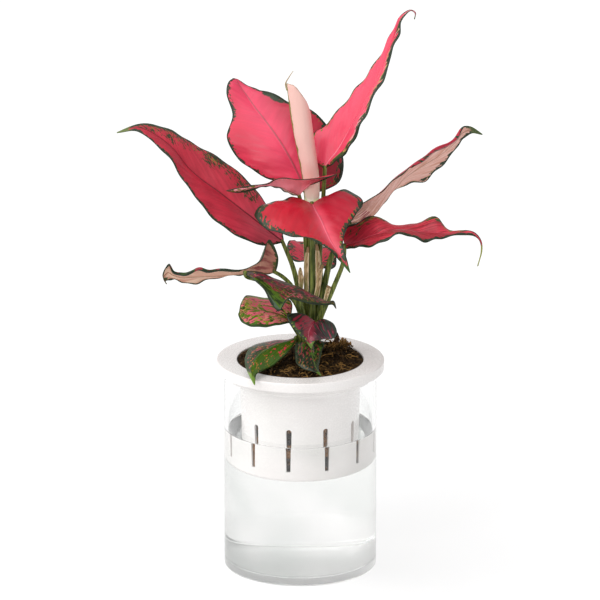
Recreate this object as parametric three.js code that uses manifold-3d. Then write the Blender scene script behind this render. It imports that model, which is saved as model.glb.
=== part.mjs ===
// A potted Chinese evergreen: a red-leaved plant in a slotted inner pot that hangs
// by its flange in a glass cylinder vessel, part filled with water.
// Millimetres, +Z up. The origin is the centre of the vessel's underside.

import * as THREE from 'three';
import { mergeVertices } from 'three/addons/utils/BufferGeometryUtils.js';
import Module from 'manifold-3d';

// ---- driving dimensions -------------------------------------------------------------

const SEAT_GAP = 0.3;            // running gap between pieces that rest on each other
const ROUND_SIDES = 40;          // facets round the vessel and the inner pot

const VESSEL_RADIUS = 60;
const VESSEL_WALL = 3;
const VESSEL_BASE = 6;
const VESSEL_HEIGHT = 160.7;
const VESSEL_EDGE = 2.5;         // rounding of the bottom edge

const RIM_Z = 169;               // top of the inner pot's flange
const FLANGE_RADIUS = 66;
const FLANGE_THICKNESS = 8;
const FLANGE_EDGE = 1;           // bevel of the flange
const MOUTH_RADIUS = 49.5;
const RING_RADIUS = 56;          // ring that centres the inner pot in the vessel's mouth
const RING_DEPTH = 14;           // depth of its lower edge below the rim
const POT_RADIUS = 47;
const POT_FOOT_RADIUS = 45.5;
const POT_DEPTH = 86;
const POT_WALL = 1.8;
const POT_FLOOR = 2;
const POT_FOOT_EDGE = 2;          // slope round the foot
const SHOULDER_DEPTH = 20;       // where the wall has drawn in from the mouth to the body

const SLOT_COUNT = 10;
const SLOT_FIRST = THREE.MathUtils.degToRad(-101);   // the slot nearest the front
const SLOT_TOP = 44;             // depths below the rim
const SLOT_BOTTOM = 78;
const SLOT_TOP_WIDTH = 4.4;
const SLOT_FOOT_WIDTH = 3;

const WATER_DEPTH = 55;          // depth of the water's surface below the rim

const SOIL_EDGE_DEPTH = 1.2;     // the soil's edge lies this far below the rim
const SOIL_CROWN = 3;            // and its middle this far above its edge
const STEM_ROOTING = 12;         // how deep the stems stand in the soil
const STEM_HOLE_CLEARANCE = 0.35;

const BLADE_THICKNESS = 0.8;
const PETIOLE_TIP_RADIUS = 1.5;
const PETIOLE_SEAT = 1.1;        // from a petiole's end to the middle of its blade

// The foliage is drawn as an eye sees it that looks down by this angle: a point is
// [across, back, rise], where rise is the height seen above the rim's centre.
const EYE_TILT = THREE.MathUtils.degToRad(17.3);

function place([across, back, rise]) {
  const height = (rise - back * Math.sin(EYE_TILT)) / Math.cos(EYE_TILT);
  return new THREE.Vector3(across, back, RIM_Z + height);
}

// ---- blades ---------------------------------------------------------------------------
// Each station across a blade, from its base to its tip, is its left edge, its midrib
// and its right edge, as they lie when the upper face is looked at with the tip up.

const BLADES = {
  leaf_left_long: {
    rows: 18,
    stations: [
      [[-14, -1, 90.4], [-14, 0, 91.3], [-13, 1, 92.3]],
      [[-26, -12, 88], [-25, 1, 99.5], [-16, 10, 107]],
      [[-42, -20, 92], [-39.5, 3, 111], [-27, 18, 121]],
      [[-57, -22, 100.5], [-53, 5, 121.5], [-38, 24, 135.5]],
      [[-70, -21, 111], [-66, 7, 131.5], [-54, 28, 150]],
      [[-80, -18, 124], [-78, 9, 140], [-69, 30, 160]],
      [[-91, -12, 138.5], [-88, 11, 149], [-84, 30, 168]],
      [[-101, -4, 155], [-99, 13, 163], [-95, 28, 175]],
      [[-113, 4, 167], [-111, 15, 173], [-108, 26, 181]],
      [[-127, 13, 177], [-127, 17, 180], [-126, 22, 182.9]],
      [[-143, 18, 175.7], [-143, 18, 176], [-143, 18, 176.4]],
    ],
  },
  leaf_back_broad: {
    rows: 16,
    stations: [
      [[4, 16, 129], [5.5, 16, 129], [7, 16, 129]],
      [[-12, 18, 137.5], [1, 19, 138], [20, 20, 131.8]],
      [[-26, 22, 140.5], [-4, 23, 149], [31, 26, 139]],
      [[-37, 27, 147.5], [-11, 28, 162], [33.5, 34, 157]],
      [[-48, 34, 155.5], [-20, 36, 176], [24, 42, 178]],
      [[-57.5, 42, 173], [-28, 46, 187], [9, 48, 194]],
      [[-53, 52, 190], [-35, 55, 196], [-15, 56, 201]],
      [[-58, 62, 208], [-42, 64, 206], [-30, 66, 209.5]],
      [[-56.5, 70, 216.5], [-47.5, 71, 213.5], [-40, 73, 213.5]],
      [[-53, 75, 219.8], [-51, 76, 219.5], [-48.5, 78, 218.5]],
    ],
  },
  leaf_right_tall: {
    rows: 20,
    stations: [
      [[18, 10, 148.5], [19.2, 9.5, 149], [20.5, 9, 149]],
      [[8, 22, 158], [23, 11, 154.5], [26, 0, 152]],
      [[10, 29, 174], [28.5, 13, 161], [34, -5, 158.5]],
      [[20, 33, 183], [34, 16, 170], [40, -8, 166.5]],
      [[32, 36, 196.5], [40, 19, 181], [46, -8, 179]],
      [[42, 38, 209], [47, 23, 193], [51.5, -4, 190.5]],
      [[51, 40, 220], [55, 28, 207], [60, 6, 209]],
      [[61, 42, 234.5], [62.5, 33, 223], [67.5, 16, 222]],
      [[69, 44, 249.5], [69, 38, 238], [71, 28, 240]],
      [[75, 46, 262], [74, 42, 252], [77.5, 37, 252]],
      [[79.5, 47, 268.7], [79, 46, 266], [79, 44, 263]],
      [[86, 48, 272], [86, 47.5, 271.5], [86, 47, 271]],
      [[90, 48.5, 270], [89.7, 48.5, 269.5], [89.4, 48.5, 269]],
      [[89.4, 49, 264.8], [89, 49, 264.8], [88.6, 49, 264.8]],
    ],
  },
  leaf_low_back: {
    rows: 12,
    stations: [
      [[15, 12.5, 71.6], [16.2, 12.5, 71], [17.4, 12.5, 70.6]],
      [[4, 18, 75.8], [14, 20, 73], [25, 15, 70.2]],
      [[-5, 26, 76.3], [12, 28, 75], [28, 22, 73]],
      [[-9.5, 38, 82], [9, 38, 78.5], [28, 32, 80]],
      [[-10.5, 50, 88], [6, 50, 83], [24, 45, 85]],
      [[-9, 62, 92], [2, 62, 87.5], [17, 58, 88.5]],
      [[-5, 74, 93], [-2, 75, 90.5], [6, 72, 91]],
      [[-6.4, 86, 92], [-6, 86, 92], [-5.6, 86, 92]],
    ],
  },
  leaf_level_thin: {
    rows: 14,
    stations: [
      [[9.2, -9, 136], [-0.8, 2.6, 126.6], [-2.6, 5, 126.8]],
      [[28, -11, 143], [-5, 0.6, 129], [-8, 12, 128.5]],
      [[12, -15, 139.6], [-9.5, -1.4, 130.8], [-13, 15, 131]],
      [[-5, -17, 139.6], [-15, -1, 133.4], [-18, 14, 133.4]],
      [[-18, -13, 140], [-21.5, -1, 134.5], [-24, 10, 134.2]],
      [[-23.5, -8, 136.4], [-28.5, -2, 134.6], [-30, 4, 133.8]],
      [[-38, -5, 134.8], [-38.5, -3, 133.2], [-38, 0, 131]],
      [[-48, -5, 132.8], [-48, -4, 131], [-48, -2, 129.2]],
      [[-57.5, -4, 131], [-57.5, -4, 130.7], [-57.5, -4, 130.4]],
    ],
  },
  leaf_front_arching: {
    rows: 18,
    stations: [
      [[10.4, -2.8, 121.5], [9, -3.5, 120.6], [7.4, -2.8, 121.3]],
      [[24, 10, 128], [10.5, -9, 117.5], [-6, 3, 125.5]],
      [[36, 8, 131.5], [12.5, -17, 113.5], [-17, -8, 122.5]],
      [[48.5, -4, 122.5], [15, -26, 109], [-29, -22, 119.5]],
      [[44, -22, 113], [17.5, -37, 103.5], [-35.5, -38, 111.5]],
      [[37.5, -38, 104], [20.5, -49, 96.5], [-27, -54, 101.5]],
      [[34, -52, 96], [24, -61, 89.5], [-9, -66, 95.5]],
      [[33, -65, 88], [28.5, -71, 82], [10, -76, 92]],
      [[35, -75, 80], [33, -78, 76], [24, -81, 82.5]],
      [[38.5, -83, 66.6], [38.2, -83, 66.6], [37.9, -83, 66.6]],
    ],
  },
  leaf_right_upper: {
    rows: 20,
    stations: [
      [[39, 11, 104.6], [39.5, 10, 105.4], [40, 9, 106.4]],
      [[48, 18, 107.5], [48, 10, 107.5], [43.5, -1, 111.5]],
      [[58, 24, 113], [57, 12, 111.5], [49.5, -6, 120]],
      [[66, 28, 122.5], [65, 15, 121], [58, -8, 126]],
      [[75, 31, 132], [73.5, 18, 131.7], [67.5, -7, 134]],
      [[86, 34, 137], [83, 21, 142], [77.5, -4, 142.5]],
      [[97, 36, 138.5], [93, 24, 149], [88, 1, 150.5]],
      [[106, 37, 146.5], [103, 27, 155], [98, 7, 158.5]],
      [[115, 38, 155], [112.5, 30, 161.5], [109, 14, 166]],
      [[123, 38, 166], [121, 32, 168.5], [119.5, 22, 170.5]],
      [[128, 38, 172], [126.5, 34, 176], [125, 28, 179.5]],
      [[134, 37, 176], [133.5, 35, 178.7], [132, 32, 181.5]],
      [[142.5, 37, 174.8], [142.5, 37, 175], [142.5, 37, 175.4]],
    ],
  },
  leaf_right_level: {
    rows: 20,
    stations: [
      [[37.4, -7, 88], [37.2, -8, 86.8], [37, -9, 85.6]],
      [[40, 0, 100], [45, -11, 91], [44, -25, 86.5]],
      [[50, 1, 107], [54, -14, 95], [53, -36, 87]],
      [[60, 2, 110.5], [63, -17, 97.5], [63, -40, 90]],
      [[71, 1, 104.5], [73, -19, 99.5], [73, -40, 95.5]],
      [[82, -1, 103.5], [84, -20, 99.5], [84, -39, 96]],
      [[94, -4, 107], [94, -21, 98.5], [94, -38, 91]],
      [[107, -8, 110], [104, -21, 98], [103, -34, 92]],
      [[115, -14, 100], [113, -21, 97.2], [112, -29, 94]],
      [[124, -17, 99.8], [124, -21, 98], [124, -25, 96.2]],
      [[135, -20, 98.5], [135, -21.5, 97], [135, -23, 95.2]],
      [[140.6, -21.5, 92], [139.8, -22, 92], [139, -22.5, 92]],
      [[141.5, -22, 84], [141, -22, 84], [140.5, -22, 84]],
      [[138.4, -22, 72], [138, -22, 72], [137.6, -22, 72]],
    ],
  },
  leaf_left_low: {
    rows: 18,
    stations: [
      [[-19, -13, 68.4], [-19.8, -12, 67.4], [-20.4, -11, 66.6]],
      [[-17, -20, 78], [-23, -14, 66.7], [-27, -3, 66.2]],
      [[-24, -24, 92.5], [-30, -16, 66.4], [-35, -3, 66]],
      [[-30, -25, 78], [-37, -18, 66], [-42, -4, 65.8]],
      [[-40, -25, 70.4], [-46, -20, 65.6], [-50, -8, 65]],
      [[-58, -28, 69.8], [-60, -22, 64.6], [-62, -12, 63.5]],
      [[-71, -30, 69.6], [-73, -24, 64], [-74, -14, 60.8]],
      [[-80, -32, 70.5], [-83, -26, 63.5], [-83, -18, 58]],
      [[-91, -33, 66.6], [-92, -28, 63], [-92, -22, 59.4]],
      [[-98, -34, 68.4], [-99, -30, 65], [-98, -26, 61.6]],
      [[-102, -34.5, 73.6], [-103.2, -31, 67], [-102, -28, 61]],
      [[-106.6, -33, 66.5], [-106.4, -31.5, 63.5], [-105, -30, 60]],
      [[-104.4, -31, 58], [-104, -31, 58], [-103.6, -31, 58]],
    ],
  },
  leaf_crossing: {
    rows: 16,
    stations: [
      [[-42, -29, 68], [-42.8, -30, 66.6], [-42, -31, 65.2]],
      [[-33, -27, 67.5], [-35, -32, 64], [-35, -38, 60.5]],
      [[-25, -24, 65], [-26, -33, 60], [-28, -43, 53]],
      [[-17, -21, 61], [-17, -34, 56.5], [-22.5, -48, 43]],
      [[-9, -20, 58.7], [-8, -34, 53.5], [-17, -49, 36.5]],
      [[-1, -21, 55.5], [0, -34, 50.5], [-10.5, -47, 46.5]],
      [[7, -23, 51.3], [8, -34, 47.5], [0, -43, 44.3]],
      [[15, -26, 47.2], [15.5, -34, 44.7], [12, -40, 42.3]],
      [[21, -29, 44.7], [21, -34, 43.3], [20, -38, 41.6]],
      [[26, -32, 44.7], [25.8, -34, 43.3], [25, -36, 42]],
      [[28, -35, 39], [27.7, -35, 39], [27.4, -35, 39]],
    ],
  },
  leaf_speckled_left: {
    rows: 12,
    stations: [
      [[-7.4, -10, 28], [-8, -9, 29], [-8, -8, 30.4]],
      [[-12, -18, 27], [-14, -10, 33], [-6.5, 0, 42]],
      [[-19, -24, 25.8], [-21, -12, 35.5], [-11, 4, 47.5]],
      [[-27, -28, 24.6], [-28, -15, 37], [-23, 4, 47.3]],
      [[-36, -30, 24.8], [-35, -18, 38], [-34, 1, 48]],
      [[-43, -30, 26.5], [-41, -22, 37.5], [-42, -6, 49.3]],
      [[-46.8, -29, 30], [-45.5, -26, 35.5], [-46, -16, 43.5]],
      [[-48.3, -29, 34], [-48.3, -28.6, 34.8], [-48, -28, 35.6]],
    ],
  },
  leaf_glossy_front: {
    rows: 12,
    stations: [
      [[13.2, -12.4, 29], [12.2, -12, 28.1], [11.2, -12.4, 29]],
      [[18.7, -12, 30.7], [10, -15.5, 26.5], [2, -17, 35]],
      [[25, -13, 27.8], [8, -18.5, 24], [-10, -21, 34]],
      [[28.5, -16, 21.5], [6.5, -21, 20.9], [-9, -24, 29]],
      [[27, -19.5, 16.5], [6.3, -23.5, 17.8], [-4.2, -25, 22.2]],
      [[18, -23.5, 15], [6.8, -25.5, 14.6], [0.5, -26, 17.2]],
      [[11.5, -26.5, 13.8], [7.6, -27.5, 11.4], [4.6, -27.5, 13.2]],
      [[8.8, -29, 7.8], [8.6, -29, 7.8], [8.4, -29, 7.8]],
    ],
  },
  leaf_hanging_front: {
    rows: 12,
    stations: [
      [[9.2, -14, 13.8], [8, -14, 13.4], [6.8, -14, 13.8]],
      [[18.5, -18, 12.5], [8.5, -19, 10.5], [-3, -17, 12]],
      [[17.5, -24, 7.5], [9, -26, 5.5], [-4, -24, 6.5]],
      [[15.8, -30, 2.5], [9.8, -33, 0.5], [-3.8, -31, 1]],
      [[14.8, -36, -2.5], [11, -39, -3.5], [-2.5, -38, -4.5]],
      [[14, -42, -6.5], [12, -44, -7], [3, -44, -8.3]],
      [[14.5, -46, -10], [13.8, -47, -10.3], [11.5, -48, -10.5]],
      [[16.3, -50, -13.2], [16, -50, -13.2], [15.7, -50, -13.2]],
    ],
  },
  leaf_low_front: {
    rows: 14,
    stations: [
      [[-2.6, -12.4, 14.8], [-3, -11, 15.8], [-3.6, -9.6, 16.6]],
      [[-7, -22, 8], [-9, -16, 13.5], [-11, -6, 13.5]],
      [[-13, -30, 1.5], [-16, -22, 11.5], [-20, -9, 14]],
      [[-20, -38, -4.5], [-23, -29, 8.5], [-30, -15, 12]],
      [[-27, -45, -8.5], [-29.5, -37, 5], [-38, -24, 9.5]],
      [[-32, -52, -10.5], [-34.5, -45, 0], [-42, -35, 3.5]],
      [[-34.5, -57, -13], [-38, -52, -6], [-43, -45, -3]],
      [[-35, -61, -16], [-38, -59, -12], [-41, -54, -10]],
      [[-35.2, -67, -20.2], [-35.5, -67, -20.2], [-35.8, -67, -20.2]],
    ],
  },
};

// Pale dried margins of the leaf sheaths, which lie against the stems, and a curl of
// bark on the soil, by the same kind of stations.
const STRIPS = {
  sheath_left: {
    rows: 6,
    stations: [
      [[3.2, 0.6, 52], [5, -1, 52], [6.4, -1.6, 52]],
      [[3, 0.4, 66], [5, -1.2, 66], [6.6, -2, 66]],
      [[3.4, 0, 77], [5.2, -1.6, 77], [6.8, -2.4, 77]],
      [[5.6, -1, 87], [6.4, -1.8, 87.4], [7, -2.4, 87]],
    ],
  },
  sheath_centre: {
    rows: 6,
    stations: [
      [[12, -2, 54], [13.4, -1.6, 54], [14.8, -0.6, 54]],
      [[12, -2, 66], [13.8, -1.8, 66], [15.4, -0.6, 66]],
      [[11.8, -2.6, 78], [13.6, -2.4, 78], [15.6, -1, 78]],
      [[11.8, -3, 89], [12.6, -2.8, 89.4], [13.4, -2, 89]],
    ],
  },
  sheath_right: {
    rows: 6,
    stations: [
      [[10.4, -4.2, 46], [12.2, -4.8, 46], [14, -4.6, 46]],
      [[12, -3.6, 56], [14, -4.4, 56], [15.8, -4, 56]],
      [[13, -2.8, 65], [15, -3.8, 65], [16.8, -3, 65]],
      [[17, -1.8, 73.6], [17.8, -2, 73.8], [18.4, -1.6, 73.4]],
    ],
  },
  sheath_scrap_left: {
    rows: 5,
    stations: [
      [[-0.6, -2, 54], [0.6, -2.4, 54], [1.8, -2, 54]],
      [[-1.6, -1.6, 62], [0.6, -2.2, 62], [2.6, -1.8, 62]],
      [[-1.4, -1, 68], [0, -1.6, 68], [1.6, -1.2, 67]],
      [[-0.4, -0.6, 71], [0, -0.8, 71.2], [0.4, -0.6, 71]],
    ],
  },
  sheath_scrap_right: {
    rows: 5,
    stations: [
      [[18, -7.9, 45], [19.2, -8.2, 45], [20.4, -7.9, 45]],
      [[19.4, -8.4, 51], [21, -8.7, 51], [22.6, -8.4, 51]],
      [[21, -8.8, 57.4], [22.4, -9, 56.8], [24, -8.8, 56]],
    ],
  },
  bark_curl: {
    rows: 5,
    stations: [
      [[27, 24.4, 10.8], [28.6, 22.6, 10.2], [30.4, 21, 9.8]],
      [[26.8, 25, 14.6], [28.6, 23.6, 14], [30.6, 22.4, 13.4]],
      [[27.6, 25.6, 17.6], [29, 24.8, 17], [30.6, 24, 16]],
      [[28.6, 26, 20], [29, 26, 20], [29.4, 26, 20]],
    ],
  },
};

const BLADE_COLUMNS = 6;
const STRIP_COLUMNS = 4;
const BLADE_PUFF = 0.1;          // how far each half arches up, over its width

// A point of the blade's middle surface: along runs from 0 at the base to 1 at the tip,
// and across from -1 at the left edge, over 0 at the midrib, to 1 at the right edge.
function bladeSurface(stations) {
  const [left, rib, right] = [0, 1, 2].map((line) => new THREE.CatmullRomCurve3(
    stations.map((station) => place(station[line])), false, 'centripetal'));
  return (along, across) => {
    const middle = rib.getPoint(along);
    const edge = (across < 0 ? left : right).getPoint(along);
    const half = edge.clone().sub(middle);
    const up = right.getPoint(along).sub(left.getPoint(along)).cross(rib.getTangent(along)).normalize();
    const share = Math.abs(across);
    const arch = BLADE_PUFF * half.length() * 4 * share * (1 - share);
    return middle.addScaledVector(half, share).addScaledVector(up, arch);
  };
}

// A thin closed sheet about a grid of points, whose two faces are split alike.
function sheetGeometry(grid, thickness) {
  const rows = grid.length;
  const columns = grid[0].length;
  const at = (row, column) => grid[THREE.MathUtils.clamp(row, 0, rows - 1)][
    THREE.MathUtils.clamp(column, 0, columns - 1)];
  const positions = [];
  for (const side of [1, -1]) {
    for (let row = 0; row < rows; row += 1) {
      for (let column = 0; column < columns; column += 1) {
        const along = at(row + 1, column).clone().sub(at(row - 1, column));
        const across = at(row, column + 1).clone().sub(at(row, column - 1));
        const normal = across.cross(along).normalize();
        const point = at(row, column).clone().addScaledVector(normal, side * thickness / 2);
        positions.push(point.x, point.y, point.z);
      }
    }
  }
  const lower = rows * columns;
  const indices = [];
  const quad = (a, b, c, d) => indices.push(a, b, c, a, c, d);
  for (let row = 0; row < rows - 1; row += 1) {
    for (let column = 0; column < columns - 1; column += 1) {
      const a = row * columns + column;
      const [b, c, d] = [a + 1, a + columns + 1, a + columns];
      quad(a, b, c, d);
      indices.push(lower + a, lower + c, lower + b, lower + a, lower + d, lower + c);
    }
  }
  const rim = [];
  for (let column = 0; column < columns - 1; column += 1) rim.push(column);
  for (let row = 0; row < rows - 1; row += 1) rim.push(row * columns + columns - 1);
  for (let column = columns - 1; column > 0; column -= 1) rim.push((rows - 1) * columns + column);
  for (let row = rows - 1; row > 0; row -= 1) rim.push(row * columns);
  rim.forEach((a, step) => {
    const b = rim[(step + 1) % rim.length];
    quad(a, lower + a, lower + b, b);
  });
  const geometry = new THREE.BufferGeometry();
  geometry.setAttribute('position', new THREE.Float32BufferAttribute(positions, 3));
  geometry.setIndex(indices);
  return geometry;
}

function bladeGeometry({ rows, stations }, columns = BLADE_COLUMNS) {
  const surface = bladeSurface(stations);
  const grid = [];
  for (let row = 0; row <= rows; row += 1) {
    const line = [];
    for (let column = 0; column <= columns; column += 1) {
      line.push(surface(row / rows, 2 * column / columns - 1));
    }
    grid.push(line);
  }
  return sheetGeometry(grid, BLADE_THICKNESS);
}

// ---- solids by union and difference -----------------------------------------------------

const wasm = await Module();
wasm.setup();

function toSolid(geometry) {
  const bare = geometry.clone();
  bare.deleteAttribute('normal');
  bare.deleteAttribute('uv');
  const merged = mergeVertices(bare);
  return new wasm.Manifold(new wasm.Mesh({
    numProp: 3,
    vertProperties: new Float32Array(merged.attributes.position.array),
    triVerts: new Uint32Array(merged.index.array),
  }));
}

function toGeometry(solid) {
  const mesh = solid.getMesh();
  const geometry = new THREE.BufferGeometry();
  geometry.setAttribute('position', new THREE.Float32BufferAttribute(mesh.vertProperties, 3));
  geometry.setIndex([...mesh.triVerts]);
  return geometry;
}

function unite(geometries) {
  return geometries.map(toSolid).reduce((sum, solid) => sum.add(solid));
}

// A profile of [radius, height] points, from the axis round to the axis or closed on
// itself, turned about the Z axis.
function revolve(profile, sides = ROUND_SIDES) {
  const geometry = new THREE.LatheGeometry(profile.map(([r, z]) => new THREE.Vector2(r, z)), sides);
  return geometry.rotateX(Math.PI / 2);
}

// ---- vessel, inner pot, water and soil ------------------------------------------------

function vesselGeometry() {
  const inner = VESSEL_RADIUS - VESSEL_WALL;
  return revolve([
    [0, 0],
    [VESSEL_RADIUS - VESSEL_EDGE, 0],
    [VESSEL_RADIUS - 0.3 * VESSEL_EDGE, 0.3 * VESSEL_EDGE],
    [VESSEL_RADIUS, VESSEL_EDGE],
    [VESSEL_RADIUS, VESSEL_HEIGHT],
    [inner, VESSEL_HEIGHT],
    [inner, VESSEL_BASE + VESSEL_EDGE],
    [inner - VESSEL_EDGE, VESSEL_BASE],
    [0, VESSEL_BASE],
  ]);
}

function potSlot(angle) {
  const half = SLOT_TOP_WIDTH / 2;
  const foot = SLOT_FOOT_WIDTH / 2;
  const outline = new THREE.Shape();
  outline.moveTo(-foot, RIM_Z - SLOT_BOTTOM);
  outline.lineTo(foot, RIM_Z - SLOT_BOTTOM);
  outline.lineTo(half, RIM_Z - SLOT_TOP - half);
  outline.absarc(0, RIM_Z - SLOT_TOP - half, half, 0, Math.PI);
  const reach = 2 * (POT_RADIUS - POT_FOOT_RADIUS + POT_WALL);
  const cutter = new THREE.ExtrudeGeometry(
    outline, { depth: 2 * reach, bevelEnabled: false, curveSegments: 4 });
  cutter.rotateX(Math.PI / 2);
  cutter.translate(0, reach, 0);
  cutter.rotateZ(-Math.PI / 2);
  cutter.translate(POT_RADIUS, 0, 0);
  cutter.rotateZ(angle);
  return cutter;
}

function potGeometry() {
  const body = revolve([
    [0, RIM_Z - POT_DEPTH],
    [POT_FOOT_RADIUS - POT_FOOT_EDGE, RIM_Z - POT_DEPTH],
    [POT_FOOT_RADIUS, RIM_Z - POT_DEPTH + POT_FOOT_EDGE],
    [POT_RADIUS, RIM_Z - SHOULDER_DEPTH],
    [MOUTH_RADIUS + POT_WALL, RIM_Z - RING_DEPTH],
    [RING_RADIUS, RIM_Z - RING_DEPTH],
    [RING_RADIUS, RIM_Z - FLANGE_THICKNESS],
    [FLANGE_RADIUS - FLANGE_EDGE, RIM_Z - FLANGE_THICKNESS],
    [FLANGE_RADIUS, RIM_Z - FLANGE_THICKNESS + FLANGE_EDGE],
    [FLANGE_RADIUS, RIM_Z - FLANGE_EDGE],
    [FLANGE_RADIUS - FLANGE_EDGE, RIM_Z],
    [MOUTH_RADIUS + FLANGE_EDGE, RIM_Z],
    [MOUTH_RADIUS, RIM_Z - FLANGE_EDGE],
    [MOUTH_RADIUS, RIM_Z - RING_DEPTH],
    [POT_RADIUS - POT_WALL, RIM_Z - SHOULDER_DEPTH],
    [POT_FOOT_RADIUS - POT_WALL, RIM_Z - POT_DEPTH + POT_FLOOR],
    [0, RIM_Z - POT_DEPTH + POT_FLOOR],
  ]);
  let pot = toSolid(body);
  for (let slot = 0; slot < SLOT_COUNT; slot += 1) {
    pot = pot.subtract(toSolid(potSlot(SLOT_FIRST + 2 * Math.PI * slot / SLOT_COUNT)));
  }
  return toGeometry(pot);
}

function waterGeometry() {
  const outer = VESSEL_RADIUS - VESSEL_WALL - SEAT_GAP;
  const floor = VESSEL_BASE + SEAT_GAP;
  const surface = RIM_Z - WATER_DEPTH;
  const potFoot = RIM_Z - POT_DEPTH - SEAT_GAP;
  return revolve([
    [0, floor],
    [outer - VESSEL_EDGE, floor],
    [outer, floor + VESSEL_EDGE],
    [outer, surface],
    [POT_RADIUS + SEAT_GAP, surface],
    [POT_FOOT_RADIUS + SEAT_GAP, potFoot + POT_FOOT_EDGE],
    [POT_FOOT_RADIUS - POT_FOOT_EDGE, potFoot],
    [0, potFoot],
  ]);
}

// The two shoots stand in plain round holes in the soil.
const SHOOT_SIDES = 20;
const SHOOTS = {
  main_stem: { across: 9, back: 4.5, radius: 8, collar: 10 },
  side_shoot: { across: 4, back: -9.6, radius: 4.2, collar: 6 },
};

function shootCollar({ across, back, radius, collar }, clearance = 0) {
  const foot = RIM_Z - STEM_ROOTING - clearance;
  const top = RIM_Z + collar;
  const collarGeometry = new THREE.CylinderGeometry(
    radius + clearance, radius + clearance, top - foot, SHOOT_SIDES);
  collarGeometry.rotateX(Math.PI / 2);
  return collarGeometry.translate(across, back, (top + foot) / 2);
}

// the soil's top: a mound, and low crumbs over all of it
const MOUND = { across: 32, back: 22, radius: 13, height: 5 };
const CRUMB_HEIGHT = 0.8;
const SOIL_RINGS = [0.93, 0.8, 0.65, 0.5, 0.35, 0.2];   // shares of the mouth's radius

function soilTop(x, y) {
  const fall = Math.min(1, Math.hypot(x, y) / MOUTH_RADIUS);
  const crown = SOIL_CROWN * (1 - fall * fall);
  const away = Math.hypot(x - MOUND.across, y - MOUND.back) / MOUND.radius;
  const mound = MOUND.height * Math.exp(-away * away) * (1 - fall ** 4);
  const crumbs = CRUMB_HEIGHT * Math.sin(0.9 * x + 1.3) * Math.sin(0.8 * y + 0.4) * (1 - fall ** 4);
  return RIM_Z - SOIL_EDGE_DEPTH + crown + mound + crumbs;
}

function soilGeometry() {
  const edge = RIM_Z - SOIL_EDGE_DEPTH;
  const wallInside = POT_WALL + SEAT_GAP;
  const plug = revolve([
    [0, RIM_Z - POT_DEPTH + POT_FLOOR + SEAT_GAP],
    [POT_FOOT_RADIUS - wallInside, RIM_Z - POT_DEPTH + POT_FLOOR + SEAT_GAP],
    [POT_RADIUS - wallInside, RIM_Z - SHOULDER_DEPTH],
    [MOUTH_RADIUS - SEAT_GAP, RIM_Z - RING_DEPTH + SEAT_GAP],
    [MOUTH_RADIUS - SEAT_GAP, edge],
    ...SOIL_RINGS.map((share) => [share * MOUTH_RADIUS, edge]),
    [0, edge],
  ]);
  const position = plug.attributes.position;
  for (let i = 0; i < position.count; i += 1) {
    const [x, y] = [position.getX(i), position.getY(i)];
    const onTop = position.getZ(i) > edge - 0.01 && Math.hypot(x, y) < MOUTH_RADIUS - 1;
    if (onTop) position.setZ(i, soilTop(x, y));
  }
  let soil = toSolid(plug);
  for (const shoot of Object.values(SHOOTS)) {
    soil = soil.subtract(toSolid(shootCollar(shoot, STEM_HOLE_CLEARANCE)));
  }
  return toGeometry(soil);
}

// ---- stems and petioles -----------------------------------------------------------------

// A round rod bent along a curve, thinner towards its end.
function taperedRod(curve, footRadius, endRadius, steps = 12, sides = 8) {
  const frames = curve.computeFrenetFrames(steps);
  const rod = new THREE.CylinderGeometry(1, 1, 1, sides, steps);
  const position = rod.attributes.position;
  for (let i = 0; i < position.count; i += 1) {
    const step = Math.round((position.getY(i) + 0.5) * steps);
    const radius = THREE.MathUtils.lerp(footRadius, endRadius, Math.sqrt(step / steps));
    const point = curve.getPointAt(step / steps)
      .addScaledVector(frames.binormals[step], position.getX(i) * radius)
      .addScaledVector(frames.normals[step], position.getZ(i) * radius);
    position.setXYZ(i, point.x, point.y, point.z);
  }
  return rod;
}

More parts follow.
